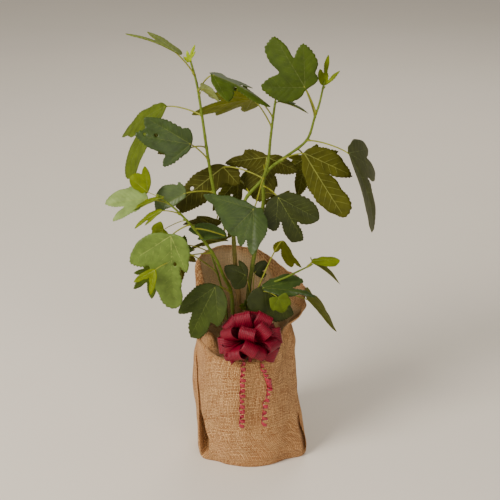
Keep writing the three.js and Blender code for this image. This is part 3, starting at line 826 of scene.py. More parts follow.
def between_ends(t, start, leave, end, arrive):
    """The point at share t of a smooth stretch that leaves its start and arrives at its end as told."""
    return (
        (2 * t**3 - 3 * t**2 + 1) * start
        + (t**3 - 2 * t**2 + t) * leave
        + (3 * t**2 - 2 * t**3) * end
        + (t**3 - t**2) * arrive
    )


class Curve:
    """A smooth curve through some points."""

    def __init__(self, points):
        p = np.array(points, float)
        self.points = np.vstack([2 * p[0] - p[1], p, 2 * p[-1] - p[-2]])
        self.spans = len(p) - 1

    def at(self, share):
        x = min(max(share, 0.0), 1.0) * self.spans
        i = min(int(x), self.spans - 1)
        before, start, end, after = self.points[i : i + 4]
        return between_ends(x - i, start, TENSION * (end - before), end, TENSION * (after - start))

    def length(self, start, steps):
        """The length from a share of the way to the end, added up over short steps."""
        places = [self.at(start + (1 - start) * i / steps) for i in range(steps + 1)]
        return sum(np.linalg.norm(b - a) for a, b in zip(places, places[1:]))


CURVES = {name: Curve(path) for name, (path, _, _) in STEMS.items()}


def share_at(name, z):
    """The place along a stem, from 0 to 1, where it passes a height."""
    low, high = 0.0, 1.0
    for _ in range(30):
        middle = (low + high) / 2
        if CURVES[name].at(middle)[2] < z:
            low = middle
        else:
            high = middle
    return (low + high) / 2


def stem_radius(name, share):
    _, foot, tip = STEMS[name]
    flare = FLARE["extra"] * (1 - ease(CURVES[name].at(share)[2], FLARE["from"], FLARE["to"]))
    return mix(foot, tip, share) + flare


STEM_STEP = 1.8
STEM_SIDES = 22
# Ring scars where leaves grow, and every so often where leaves grew.
JOINT_SWELL = 0.16
JOINT_WIDTH = 1.5
SCARS = {"first": 0.06, "apart": 26.0}
STEM_END = {"long": 3, "thinner": 0.6}
# The bark is rougher below the first height and smooth above the second.
RIDGE = 0.07
WOODY = (300, 420)
SMOOTH_SHARE = 0.35


def stem(name, material, slot, *nodes):
    """A stem from the compost, or from the fork, to its tip."""
    shape = Shape()
    curve = CURVES[name]
    start = share_at(name, COMPOST_TOP - 2) if curve.at(0)[2] < COMPOST_TOP else 0.0
    length = curve.length(start, 40)
    steps = int(length / STEM_STEP)
    shares = [mix(start, 1.0, i / steps) for i in range(steps + 1)]
    centres = [curve.at(s) for s in shares]
    joints = [share_at(name, row[0]) for row in LEAVES.get(name, [])]
    joints += list(np.arange(start + SCARS["first"], 1.0, SCARS["apart"] / length))
    radii = []
    for s in shares:
        swell = sum(bell(s * length, joint * length, JOINT_WIDTH) for joint in joints)
        tip = 1 - ease(s, 1 - STEM_END["long"] / length, 1.0) * STEM_END["thinner"]
        radii.append(stem_radius(name, s) * (1 + JOINT_SWELL * min(swell, 1.0)) * tip)
    seed = len(name) + ord(name[0])

    def relief(i, turn):
        z = centres[i][2]
        woody = 1 - ease(z, *WOODY)
        ridge = bump(2.2 * math.cos(turn), 2.2 * math.sin(turn), z / 16 + seed)
        crack = bump(5 * math.cos(turn), 5 * math.sin(turn), z / 6 + seed)
        return 1 + mix(SMOOTH_SHARE, 1.0, woody) * RIDGE * (ridge + 0.7 * crack)

    tube(shape, centres, radii, STEM_SIDES, relief)
    for row in LEAVES.get(name, []):
        bud(shape, name, row)
    end_bud(shape, curve)
    finished(shape.make("bark_" + name, [material]), slot, *nodes)


def bud(shape, name, row):
    """A small pointed bud in the corner above a leaf's stalk."""
    share = share_at(name, row[0])
    middle = CURVES[name].at(share)
    out = vec(*row[1]) - middle
    along = unit(CURVES[name].at(min(1.0, share + 0.02)) - CURVES[name].at(share - 0.02))
    out = unit(out - along * out.dot(along) + 0.01 * UP)
    base = middle + out * 0.6 * stem_radius(name, share) + along * 1.6
    path = [base + (out * 0.6 + along) * d for d in (0.0, 1.4, 2.8, 4.0)]
    tube(shape, path, [1.3, 1.5, 0.95, 0.15], 8)


def end_bud(shape, curve):
    """The longer bud at a stem's tip."""
    tip = curve.at(1.0)
    along = unit(tip - curve.at(0.97))
    path = [tip + along * d for d in (-2.0, 0.5, 3.0, 5.5, 8.0)]
    tube(shape, path, [1.2, 1.7, 1.5, 0.8, 0.1], 10)


# Leaves. A blade is a run of places round its rim: the tips of its lobes, the gaps between them and its base.
# Each is a bearing from the axis, plus to the left, and a reach from the junction as a share of its length.
def mirrored(*half):
    """A blade that is the same on both sides, from its places at the tip and on the left."""
    return [(-bearing, far) for bearing, far in reversed(half[1:])] + list(half)


BLADES = {
    "five": mirrored(
        (0, 1), (21, 0.44), (40, 0.84), (60, 0.36), (78, 0.56), (98, 0.26), (118, 0.34), (165, 0.06),
    ),
    "three": mirrored((0, 1), (24, 0.5), (48, 0.8), (82, 0.3), (108, 0.34), (160, 0.06)),
    "heart": mirrored((0, 1), (30, 0.74), (44, 0.8), (84, 0.56), (110, 0.5), (165, 0.08)),
    "sprig": [
        (-70, 0.08), (-30, 0.3), (-22, 0.2), (-14, 0.74), (-8, 0.5), (-2, 1.05), (8, 0.42), (26, 0.66),
        (38, 0.3), (62, 0.4), (90, 0.12), (130, 0.08),
    ],
    "drooped": [
        (-110, 0.06), (-80, 0.4), (-58, 0.56), (-42, 0.3), (-28, 0.8), (-18, 0.98), (-6, 0.8), (2, 1),
        (10, 0.5), (40, 0.16), (80, 0.06),
    ],
    "lance": [
        (-90, 0.05), (-30, 0.26), (-10, 0.62), (0, 1.03), (7, 0.56), (14, 0.5), (22, 0.7), (34, 0.26),
        (90, 0.05),
    ],
    "vee": [
        (-100, 0.06), (-44, 0.44), (-24, 1.06), (-14, 0.6), (0, 0.4), (14, 0.6), (24, 1.06), (44, 0.44),
        (100, 0.06),
    ],
    "claw": [
        (-62, 0.06), (-40, 0.76), (-30, 0.26), (-8, 0.5), (0, 1.06), (7, 0.44), (20, 0.58), (36, 0.4),
        (70, 0.1),
    ],
    "prongs": [
        (-130, 0.15), (-100, 0.35), (-75, 0.5), (-45, 0.95), (-22, 0.5), (-6, 1.08), (20, 0.4), (60, 0.2),
        (120, 0.08),
    ],
    "draped": [
        (-100, 0.05), (-68, 0.18), (-42, 0.5), (-12, 0.42), (0, 1), (18, 0.45), (40, 0.82), (58, 0.4),
        (80, 0.5), (110, 0.15), (150, 0.05),
    ],
    "gliding": [
        (-140, 0.06), (-100, 0.4), (-75, 0.8), (-60, 0.45), (-34, 0.76), (-24, 0.7), (4, 0.98), (20, 0.5),
        (42, 0.8), (60, 0.42), (82, 0.5), (130, 0.08),
    ],
    "hooked": [
        (-100, 0.08), (-75, 0.2), (-62, 0.36), (-50, 0.78), (-43, 1.06), (-37, 0.86), (-24, 0.62),
        (-13, 1.02), (-6, 1.14), (4, 1.02), (14, 0.78), (28, 0.48), (50, 0.24), (110, 0.06),
    ],
    "broad": [
        (-90, 0.1), (-62, 0.3), (-40, 0.36), (-9, 1.02), (3, 0.94), (12, 1.1), (41, 0.55), (60, 0.68),
        (74, 0.3), (110, 0.08),
    ],
    "mitten": [
        (-90, 0.1), (-62, 0.7), (-46, 1.15), (-33, 0.85), (-20, 1), (-2, 1.03), (16, 0.8), (28, 0.45),
        (60, 0.2), (110, 0.06),
    ],
    "pair": [
        (-120, 0.08), (-70, 0.4), (-44, 0.55), (-28, 0.8), (-11, 0.97), (6, 0.55), (20, 0.94), (34, 0.5),
        (50, 0.25), (100, 0.06),
    ],
    "shield": [
        (-130, 0.1), (-92, 0.34), (-76, 0.3), (-58, 0.48), (-45, 0.64), (-20, 0.82), (0, 0.92), (12, 0.6),
        (30, 0.25), (80, 0.08),
    ],
    "fin": [
        (-100, 0.06), (-50, 0.32), (-26, 0.8), (-8, 1.08), (8, 0.76), (15, 0.81), (24, 0.42), (40, 0.15),
        (90, 0.05),
    ],
    "hanging": [
        (-150, 0.06), (-122, 0.24), (-80, 0.38), (-41, 0.27), (2, 0.97), (12, 0.98), (19, 0.74),
        (25, 0.68), (48, 0.26), (95, 0.07),
    ],
    "spread": [
        (-135, 0.08), (-106, 0.3), (-76, 0.74), (-37, 0.42), (-22, 0.82), (-3, 0.98), (16, 0.86),
        (30, 0.72), (38, 0.45), (52, 0.56), (68, 0.88), (82, 0.5), (96, 0.46), (114, 0.2), (150, 0.05),
    ],
    "angular": [
        (-104, 0.14), (-78, 0.44), (-67, 0.9), (-61, 1.3), (-50, 1.0), (-30, 0.88), (0, 0.88), (12, 0.82),
        (24, 1.0), (30, 0.8), (41, 1.16), (54, 0.88), (84, 0.54), (112, 0.26), (140, 0.2), (165, 0.08),
    ],
    "hand": [
        (-130, 0.07), (-90, 0.24), (-64, 0.46), (-44, 0.63), (-32, 0.65), (-21, 0.47), (-11, 0.92),
        (3, 0.98), (9, 0.6), (21, 0.8), (34, 0.9), (50, 0.74), (70, 0.4), (100, 0.14), (130, 0.06),
    ],
    "upright": [
        (-130, 0.08), (-100, 0.24), (-74, 0.28), (-64, 0.46), (-36, 0.7), (-18, 0.52), (-9, 0.95),
        (6, 0.9), (19, 0.5), (46, 0.72), (80, 0.42), (110, 0.2), (140, 0.06),
    ],
    "folded": [
        (-110, 0.05), (-95, 0.1), (-76, 0.22), (-57, 0.41), (-42, 0.57), (-32, 0.7), (-23, 0.58),
        (-18, 0.45), (-14, 0.7), (-11, 0.91), (-6, 0.98), (0, 1), (5, 0.91), (12, 0.76), (19, 0.57),
        (27, 0.36), (44, 0.1), (90, 0.04),
    ],
    "sidelong": [
        (-60, 0.08), (-30, 0.34), (-16, 0.55), (-4, 0.76), (8, 1.08), (14, 1.12), (24, 0.7), (32, 0.52),
        (42, 0.84), (50, 0.9), (59, 0.6), (68, 0.78), (84, 0.46), (105, 0.15), (140, 0.05),
    ],
    "long": [
        (-150, 0.03), (-117, 0.06), (-105, 0.16), (-87, 0.34), (-71, 0.49), (-57, 0.61), (-49, 0.58),
        (-36, 0.47), (-21, 0.61), (-13, 0.8), (-6, 0.97), (0, 1), (6, 0.92), (9, 0.7), (12, 0.48),
        (15, 0.4), (22, 0.5), (37, 0.37), (58, 0.27), (80, 0.17), (103, 0.08), (150, 0.03),
    ],
    "apron": [
        (-120, 0.08), (-88, 0.2), (-70, 0.36), (-37, 0.8), (-24, 0.62), (-9, 1.03), (0, 1), (11, 0.64),
        (23, 0.7), (50, 0.4), (75, 0.2), (120, 0.07),
    ],
    "rounded": [
        (-140, 0.1), (-105, 0.36), (-84, 0.54), (-58, 0.66), (-30, 0.82), (-12, 0.95), (6, 1), (22, 0.5),
        (40, 0.3), (70, 0.12), (120, 0.06),
    ],
    "narrow": [
        (-60, 0.06), (-32, 0.22), (-17, 0.56), (-5, 0.7), (0, 1.02), (6, 0.57), (20, 0.8), (37, 0.6),
        (47, 0.34), (70, 0.12), (110, 0.05),
    ],
    "tongue": [
        (-100, 0.05), (-50, 0.2), (-34, 0.38), (-12, 0.85), (8, 1), (20, 0.55), (34, 0.2), (100, 0.06),
        (115, 0.18), (135, 0.05),
    ],
    "sliver": [(-60, 0.06), (-26, 0.4), (-8, 0.9), (0, 1), (28, 0.6), (56, 0.3), (100, 0.06)],
    "strap": [
        (-20, 0.15), (3, 0.75), (14, 1.08), (26, 1.06), (35, 0.74), (52, 0.7), (70, 0.4), (93, 0.44),
        (120, 0.08),
    ],
    "left_dark": [
        (-130, 0.15), (-90, 0.35), (-52, 0.75), (-38, 0.55), (-12, 1.06), (10, 0.95), (30, 0.8),
        (60, 0.84), (95, 0.55), (140, 0.15),
    ],
    "right_dark": [
        (-120, 0.1), (-90, 0.3), (-68, 0.66), (-44, 0.74), (-26, 0.48), (-8, 0.95), (14, 1), (35, 0.7),
        (60, 0.4), (100, 0.3), (150, 0.08),
    ],
}
# How far a rim is pushed out half-way between two places, how tightly it runs, and its points in a stretch.
BULGE = 0.09
RING_TENSION = 0.42
RING_STEPS = 9


def reach(kind, bearing):
    """How far the blade reaches at a bearing, read straight between its places."""
    bearings, shares = zip(*BLADES[kind])
    return float(np.interp(bearing, bearings, shares))


def plain_ring(kind):
    """The blade's outline without teeth: a smooth ring through its places."""
    bearings, shares = (np.array(column, float) for column in zip(*BLADES[kind]))
    turns = np.radians(bearings)
    places = shares[:, None] * np.column_stack([np.cos(turns), np.sin(turns)])
    steps = np.diff(places, axis=0)
    middles = (places[:-1] + places[1:]) / 2 + BULGE * np.column_stack([steps[:, 1], -steps[:, 0]])
    ring = [places[0]]
    for middle, place in zip(middles, places[1:]):
        ring += [middle, place]
    ring = np.array(ring)
    before, after, beyond = (np.roll(ring, shift, axis=0) for shift in (1, -1, -2))
    leave = RING_TENSION * (after - before)
    arrive = RING_TENSION * (beyond - ring)
    shares = np.arange(RING_STEPS) / RING_STEPS
    return np.stack([between_ends(t, ring, leave, after, arrive) for t in shares], axis=1).reshape(-1, 2)


# Holes that were eaten in blades: bearing, reach and radius in millimetres.
HOLES = {
    "draped": [(-10, 0.4, 3.4)],
    "broad": [(9, 0.92, 2.8), (7, 0.7, 3.4)],
    "hanging": [(16, 0.6, 3.6)],
    "long": [(7, 0.36, 3.4)],
}


# Each leaf: the height where its stalk leaves the stem, the junction, the way to the tip, the way its upper
# face looks, its kind, its colours above and below, and if not by FOLD, how far its halves rise or hang.
FOLD = 0.1
LEAVES = {
    "left": [
        (676, (-95, 8, 676), (10, 0, 26), (0.2, -0.9, 0.3), "sprig", "fresh", "fresh_under"),
        (655, (-111, 0, 692), (-71, 0, 35), (0.36, 0.1, 0.9), "prongs", "bright", "bright_under"),
        (630, (-56, -36, 668), (93, -10, -39), (0.4, -0.25, 0.88), "draped", "mid", "olive", -0.45),
        (622, (-73, -10, 640), (28, -4, -18), (0.2, 0.5, 0.8), "heart", "mid", "pale_under"),
        (592, (-134, 22, 602), (-66, -14, -103), (-0.8, -0.3, 0.53), "hooked", "mid_lit", "bright_under"),
        (520, (-92, -20, 553), (-73, -10, 34), (0, -0.9, 0.3), "broad", "blue", "olive"),
        (466, (-103, -18, 471), (-52, -10, -28), (0, -0.85, 0.5), "shield", "grey", "olive"),
        (436, (-59, 24, 398), (-51, -2, 10), (0, 0.6, 0.7), "heart", "mid", "olive_dark"),
        (424, (-43, 16, 376), (-66, -8, -11), (0, 0.5, 0.8), "three", "mid", "olive_dark"),
        (540, (-112, 58, 520), (-55, 8, 25), (-0.2, 0.8, 0.5), "three", "mid", "olive"),
        (420, (-10, 30, 417), (-27, 14, -45), (0, 0.8, 0.5), "three", "mid", "olive"),
    ],
    "centre": [
        (575, (3, 60, 603), (-101, 2, -23), (-0.2, 0.58, 0.8), "gliding", "mid", "olive_lit"),
        (490, (-43, 22, 501), (-65, -20, -77), (0, 0.97, -0.2), "hanging", "mid", "olive_dark"),
        (492, (6, -74, 466), (-43, -24, -38), (-0.1, -0.95, 0.3), "angular", "blue", "olive"),
        (478, (44, -44, 474), (38, -22, -69), (0, -0.95, 0.3), "hand", "deep", "olive"),
        (505, (27, 34, 514), (-16, -4, -76), (0, 0.97, -0.2), "spread", "mid", "olive_dark"),
        (612, (48, 28, 608), (47, 0, -15), (0.1, 0.15, 1), "three", "mid", "bright_under"),
        (500, (20, 84, 485), (-10, 8, -60), (0, 0.9, 0.4), "five", "mid", "olive"),
        (590, (-6, 96, 605), (-52, 6, -28), (0, 0.6, 0.8), "three", "mid", "olive"),
        (259, (-9, -6, 264), (-8, -4, 5), (0, -0.6, 0.8), "heart", "bright", "olive"),
        (263, (1, -8, 267), (8, -4, 4), (0, -0.6, 0.8), "heart", "bright", "olive"),
        (267, (-5, -7, 271), (-3, -5, 8), (0, -0.8, 0.6), "heart", "bright_mid", "olive"),
        (466, (50, 42, 441), (22, 12, -58), (0.1, 0.85, 0.4), "five", "mid", "olive_dark"),
    ],
    "right": [
        (590, (85, 4, 637), (-62, -8, 76), (0, -0.95, 0.3), "upright", "mid", "olive"),
        (630, (115, 20, 635), (5, 6, 46), (-0.3, -0.9, 0.2), "claw", "bright", "bright_under"),
        (510, (86, 12, 528), (65, -6, -107), (-0.2, 0.95, -0.1), "folded", "mid", "olive"),
        (545, (156, 0, 532), (54, 2, -136), (0.93, -0.2, 0.34), "sidelong", "deep_warm", "olive_dark"),
        (585, (85, 62, 627), (-42, 8, 50), (0, 0.9, 0.3), "three", "mid", "olive"),
        (530, (92, 62, 503), (49, 8, -84), (0.2, 0.9, 0.3), "five", "mid", "olive"),
        (457, (-20, 72, 462), (-45, 6, -55), (0, 0.85, 0.5), "five", "mid", "olive"),
    ],
    "low_left": [
        (470, (-160, -40, 481), (-28, 4, 22), (0, -0.8, 0.5), "mitten", "bright", "bright_under"),
        (470, (-161, -50, 473), (-66, -14, -12), (-0.1, -0.6, 0.75), "pair", "pale", "olive"),
        (480, (-133, -66, 483), (-55, 0, -18), (0, 0, 1), "lance", "bright", "bright_under"),
        (450, (-136, -74, 464), (-45, -6, -24), (0, -0.3, 0.95), "lance", "bright", "bright_under"),
        (424, (-38, -36, 405), (-57, -4, 9), (0, -0.5, 0.85), "fin", "blue", "olive"),
        (440, (-137, -54, 423), (-20, 2, -18), (0, -0.7, 0.7), "heart", "bright", "bright_under"),
        (376, (-148, -99, 374), (-22, -6, -31), (0, -0.8, 0.5), "vee", "bright", "bright_under"),
        (376, (-156, -54, 354), (-3, -4, -53), (0, -0.95, 0.2), "five", "mid", "olive"),
    ],
    "low_right": [
        (290, (53, -12, 386), (28, 0, -51), (-0.72, -0.55, 0.4), "drooped", "olive_top", "olive"),
        (350, (100, -34, 361), (45, -6, 1), (0, -0.45, 0.85), "tongue", "bright", "bright_under"),
        (350, (100, -34, 359), (51, 4, -36), (0.4, 0.1, 0.9), "sliver", "olive_top", "olive"),
        (300, (46, -58, 306), (9, -3, -27), (0, -0.95, 0.3), "heart", "mid_lit", "olive"),
        (310, (20, -34, 313), (87, -10, -4), (0, -0.45, 0.9), "narrow", "blue", "olive"),
        (300, (20, -26, 309), (48, -10, -50), (0, -0.95, 0.3), "rounded", "deep", "olive"),
        (300, (94, -22, 287), (55, 0, -67), (0.75, 0, 0.64), "strap", "olive_top", "olive_dark"),
        (270, (-7, -24, 331), (-33, -8, 12), (0, -0.85, 0.5), "left_dark", "deep", "olive"),
        (270, (8, 18, 317), (22, 6, 14), (0, -0.85, 0.5), "right_dark", "deep", "olive"),
    ],
    "slender": [
        (362, (-103, -20, 383), (-42, -6, -27), (0, -0.5, 0.8), "three", "mid", "olive"),
        (325, (-120, 46, 345), (-48, 6, -66), (-0.2, 0.9, 0.3), "five", "mid", "olive"),
    ],
    "front": [
        (432, (-123, -79, 423), (1, -16, -126), (-0.1, -0.95, 0.1), "long", "bright_mid", "olive"),
    ],
    "foot": [
        (290, (-56, -52, 323), (-28, -26, -84), (-0.1, -0.93, 0.3), "apron", "blue_deep", "olive"),
    ],
}
STEM_OF = {"front": "low_left", "foot": "low_left"}

# Leaf colours: base colour, roughness and shine. The names that end in under are for lower faces, and so
# are the olives, apart from olive_top. Some are lit and shaded copies of one colour, painted light and shade
# for where each leaf hangs: mid_lit is a painted lit copy of mid, and the lit and the darker olives are
# painted lit and shaded copies of olive.
LEAF_COLOURS = {
    "fresh": ((0.34, 0.46, 0.006), 0.65, 0.08),
    "fresh_under": ((0.34, 0.42, 0.01), 0.65, 0.08),
    "bright": ((0.13, 0.17, 0.004), 0.65, 0.1),
    "bright_mid": ((0.105, 0.165, 0.022), 0.5, 0.24),
    "bright_under": ((0.15, 0.17, 0.004), 0.65, 0.1),
    "mid_lit": ((0.082, 0.115, 0.006), 0.6, 0.12),
    "mid": ((0.05, 0.08, 0.004), 0.5, 0.16),
    "blue": ((0.034, 0.06, 0.009), 0.42, 0.25),
    "blue_deep": ((0.036, 0.055, 0.005), 0.5, 0.18),
    "deep": ((0.026, 0.034, 0.004), 0.5, 0.16),
    "deep_warm": ((0.05, 0.06, 0.006), 0.5, 0.14),
    "grey": ((0.065, 0.1, 0.026), 0.42, 0.28),
    "pale": ((0.19, 0.27, 0.07), 0.5, 0.2),
    "olive_top": ((0.1, 0.105, 0.003), 0.65, 0.1),
    "olive": ((0.073, 0.074, 0.006), 0.65, 0.1),
    "olive_lit": ((0.155, 0.175, 0.005), 0.65, 0.1),
    "olive_dark": ((0.056, 0.054, 0.005), 0.65, 0.1),
    "pale_under": ((0.2, 0.24, 0.07), 0.65, 0.15),
}
# Upper faces whose veins are pale
PALE_VEINED = {"fresh", "bright", "bright_mid", "pale"}
PALETTE = list(LEAF_COLOURS)


class Leaf:
    """A row of the table with its length and its three directions worked out."""

    def __init__(self, row):
        self.leaves_at, at, tip, face, self.kind, self.top, self.under = row[:7]
        self.fold = row[7] if len(row) > 7 else FOLD
        self.at = vec(*at)
        self.length = float(np.linalg.norm(tip))
        self.forward = unit(vec(*tip))
        face = vec(*face)
        self.face = unit(face - self.forward * face.dot(self.forward))
        self.left = np.cross(self.face, self.forward)
        self.phase = 0.37 * at[0] + 0.61 * at[1] + 0.23 * at[2]


# How a blade bends along its length, waves along its rim, and hangs beyond a share of its length.
CURL = 0.18
RUFFLE = 0.022
SAG = 0.05
SAG_FROM = 0.45


def on_blade(leaf, u, v, w):
    """Points of the blade in space: u towards the tip, v to the left, w out of the upper face."""
    length = leaf.length
    bend = 2 * CURL
    turn = u / length * bend
    ahead = length / bend * np.sin(turn)
    arch = -length / bend * (1 - np.cos(turn)) + 0.5 * CURL * u
    tilt = leaf.fold * np.abs(v) - 0.25 * leaf.fold * v * v / length
    far = np.hypot(u, v) / length
    bearing = np.arctan2(v, u)
    ruffle = RUFFLE * length * far**2 * np.sin(5 * bearing + leaf.phase + 1.5 * far)
    ruffle += 0.5 * RUFFLE * length * far**3 * np.sin(13 * bearing + 2 * leaf.phase)
    sag = -SAG * length * np.clip(far - SAG_FROM, 0, None) ** 2
    height = arch + tilt + ruffle + sag + w
    place = leaf.at + np.outer(ahead, leaf.forward) + np.outer(v, leaf.left)
    return place + np.outer(height, leaf.face)


# Teeth along the rim of a blade of full size. A smaller blade has smaller ones.
TOOTH = 6.5
TOOTH_DEPTH = 1.7
TOOTH_WANDER = 3.2
EDGE_STEP = 1.1
FULL_SIZE = 85
LEAST_SCALE = 0.4
LEAST_POINTS = 70


def outline(leaf):
    """The blade's outline as evenly spaced points, with rounded teeth of uneven size."""
    ring = plain_ring(leaf.kind) * leaf.length
    ring = np.vstack([ring, ring[:1]])
    run = np.concatenate([[0], np.cumsum(np.linalg.norm(np.diff(ring, axis=0), axis=1))])
    scale = min(1.0, max(LEAST_SCALE, leaf.length / FULL_SIZE))
    count = max(LEAST_POINTS, int(run[-1] / (EDGE_STEP * scale)))
    at = np.linspace(0, run[-1], count, endpoint=False)
    points = np.column_stack([np.interp(at, run, ring[:, 0]), np.interp(at, run, ring[:, 1])])
    ahead = np.roll(points, -2, axis=0) - np.roll(points, 2, axis=0)
    outward = unit_rows(np.column_stack([ahead[:, 1], -ahead[:, 0]]))
    wander = at + TOOTH_WANDER * scale * np.sin(at / (1.7 * TOOTH * scale) + leaf.phase)
    teeth = np.abs(np.sin(np.pi * wander / (TOOTH * scale) + leaf.phase)) - 0.6
    size = 0.7 + 0.5 * np.sin(at / (2.3 * TOOTH * scale) + 2 * leaf.phase)
    away = ease(np.hypot(points[:, 0], points[:, 1]) / leaf.length, 0.1, 0.3)
    return points + outward * (TOOTH_DEPTH * scale * teeth * size * away)[:, None]


def inside(points, ring):
    """Which points lie inside a closed outline."""
    x, y = points[:, 0][:, None], points[:, 1][:, None]
    x0, y0 = ring[:, 0], ring[:, 1]
    x1, y1 = np.roll(x0, -1), np.roll(y0, -1)
    crosses = (y0 > y) != (y1 > y)
    with np.errstate(divide="ignore", invalid="ignore"):
        at = x0 + (y - y0) * (x1 - x0) / (y1 - y0)
    return (crosses & (x < at)).sum(1) % 2 == 1


HOLE_POINTS = 12


def blade_triangles(leaf):
    """The flat blade cut into even triangles, with its holes left out."""
    ring = outline(leaf)
    step = max(1.6, leaf.length / 38)
    xs = np.arange(ring[:, 0].min(), ring[:, 0].max(), step)
    ys = np.arange(ring[:, 1].min(), ring[:, 1].max(), step * 0.866)
    grid = np.array([(x + (0.5 * step if k % 2 else 0), y) for k, y in enumerate(ys) for x in xs])
    grid = grid[inside(grid, ring)]
    grid = grid[nearest(grid, ring) > 0.6 * step]
    loops = [ring]
    for bearing, far, r in HOLES.get(leaf.kind, []):
        x = far * leaf.length * math.cos(math.radians(bearing))
        y = far * leaf.length * math.sin(math.radians(bearing))
        turns = np.linspace(0, 2 * math.pi, HOLE_POINTS, endpoint=False)
        loops.append(np.column_stack([x + r * np.cos(turns), y + 0.8 * r * np.sin(turns)]))
        grid = grid[np.hypot(grid[:, 0] - x, grid[:, 1] - y) > r + 0.5 * step]
    edges = []
    start = 0
    for loop_points in loops:
        n = len(loop_points)
        edges += [(start + i, start + (i + 1) % n) for i in range(n)]
        start += n
    points = np.vstack([*loops, grid])
    made = delaunay_2d_cdt([Vector(p) for p in points], edges, [], 1, 1e-5)
    flat = np.array([tuple(p) for p in made[0]])
    faces = np.array(made[2])
    middles = flat[faces].mean(1)
    keep = inside(middles, ring)
    for loop_points in loops[1:]:
        keep &= ~inside(middles, loop_points)
    return flat, faces[keep]


# A lobe has a main vein if it is long enough, not too far back, and apart from the longer ones.
MAIN_VEIN = {"least": 0.33, "widest": 112, "apart": 13}


def main_veins(kind):
    """Bearings of the lobes that are long enough to have a main vein of their own."""
    places = BLADES[kind]
    tips = [
        (far, bearing)
        for (_, before), (bearing, far), (_, after) in zip(places, places[1:], places[2:])
        if far >= max(before, after, MAIN_VEIN["least"]) and abs(bearing) < MAIN_VEIN["widest"]
    ]
    kept = []
    for _, bearing in sorted(tips, reverse=True):
        if all(abs(bearing - other) > MAIN_VEIN["apart"] for other in kept):
            kept.append(bearing)
    return sorted(kept)


# Widths of veins at their start as shares of the blade's length. They end at a share of that.
VEIN_WIDTH = 0.017
SIDE_VEIN_WIDTH = 0.0055
VEIN_END = 0.3
# Main veins off the middle are thinner, and all end a little before their lobe's tip.
OFF_MIDDLE = 0.75
VEIN_REACH = 0.93
# Side veins: their angle from the main vein, which they lose as they go, their steps and their spacing.
SIDE_ANGLE = 48
SIDE_STEP = 1.6
SIDE_SPACING = 0.11
OUTER_HALF = 50


def vein_paths(leaf, ring):
    """Main veins up each lobe and side veins off them, each as its points, start width and end width."""
    scale = leaf.length
    paths = []
    bearings = main_veins(leaf.kind)
    middle = min(bearings, key=abs)
    for k, bearing in enumerate(bearings):
        end = VEIN_REACH * reach(leaf.kind, bearing) * scale
        turn = math.radians(bearing)
        direction = vec(math.cos(turn), math.sin(turn))
        steps = max(6, int(end / 3))
        wide = VEIN_WIDTH if bearing == middle else OFF_MIDDLE * VEIN_WIDTH
        points = np.outer(np.linspace(0, end, steps), direction)
        paths.append((points, wide * scale, VEIN_END * wide * scale))
        low = (bearings[k - 1] + bearing) / 2 if k else bearing - OUTER_HALF
        high = (bearings[k + 1] + bearing) / 2 if k + 1 < len(bearings) else bearing + OUTER_HALF
        paths += side_veins(leaf, ring, bearing, end, low, high)
    return paths


def side_veins(leaf, ring, bearing, end, low, high):
    """The veins off one main vein to both sides, up to the rim or to the next lobe's part of the blade."""
    paths = []
    spacing = max(5.0, SIDE_SPACING * leaf.length)
    along = math.radians(bearing)
    wide = SIDE_VEIN_WIDTH * leaf.length
    for i in range(1, int(end / spacing)):
        for side in (-1, 1):
            point = vec(math.cos(along), math.sin(along)) * (i + 0.25 * side) * spacing
            points = [point]
            for k in range(60):
                turn = along + side * math.radians(SIDE_ANGLE - 0.5 * k)
                point = point + SIDE_STEP * vec(math.cos(turn), math.sin(turn))
                if not inside((point * 1.05)[None], ring)[0]:
                    break
                if not low <= math.degrees(math.atan2(point[1], point[0])) <= high:
                    break
                points.append(point)
            if len(points) > 3:
                paths.append((np.array(points), wide, VEIN_END * wide))
    return paths


def is_main(wide, length):
    """Whether a vein that is this wide at its start is a main one."""
    return wide > 1.1 * SIDE_VEIN_WIDTH * length


# The blade's thickness, and how far the veins stand out of it on either face.
BLADE = 0.6
TOP_RIDGE = 0.42
UNDER_RIDGE = 0.65
SIDE_RIDGE = 0.55
# How deep the blade sinks along a side vein, the same for a main vein as a share of that, and their widths.
QUILT = 0.4
MAIN_QUILT = 1.6
QUILT_WIDTH = {"main": 3.2, "side": 1.9}


def quilting(flat, paths, length):
    """How far the blade sinks along its veins."""
    mains = np.vstack([points for points, wide, _ in paths if is_main(wide, length)])
    sides = [points for points, wide, _ in paths if not is_main(wide, length)]
    sink = -QUILT * MAIN_QUILT * bell(nearest(flat, mains), 0, QUILT_WIDTH["main"])
    if sides:
        sink += -QUILT * bell(nearest(flat, np.vstack(sides)), 0, QUILT_WIDTH["side"])
    return sink


def vein_strip(shape, leaf, path, wide, narrow, paths, side, slot):
    """One vein as a low ridge on the upper face, side 1, or on the lower face, side -1."""
    count = len(path)
    ahead = np.gradient(path, axis=0)
    across = unit_rows(np.column_stack([-ahead[:, 1], ahead[:, 0]]))
    half = np.linspace(wide, narrow, count)[:, None] / 2
    sink = quilting(path, paths, leaf.length)
    ridge = (TOP_RIDGE if side > 0 else UNDER_RIDGE) * np.linspace(1, 0.4, count)
    if not is_main(wide, leaf.length):
        ridge = ridge * SIDE_RIDGE
    surface = sink + side * (BLADE / 2 - 0.05)
    crest = sink + side * (BLADE / 2 + ridge)
    rows = [
        on_blade(leaf, *(path + across * half).T, surface),
        on_blade(leaf, *path.T, crest),
        on_blade(leaf, *(path - across * half).T, surface),
    ]
    points = np.stack(rows, axis=1).reshape(-1, 3)
    faces = grid_faces(count, 3)
    if side > 0:
        faces = [tuple(reversed(face)) for face in faces]
    shape.add(points, faces, slot)


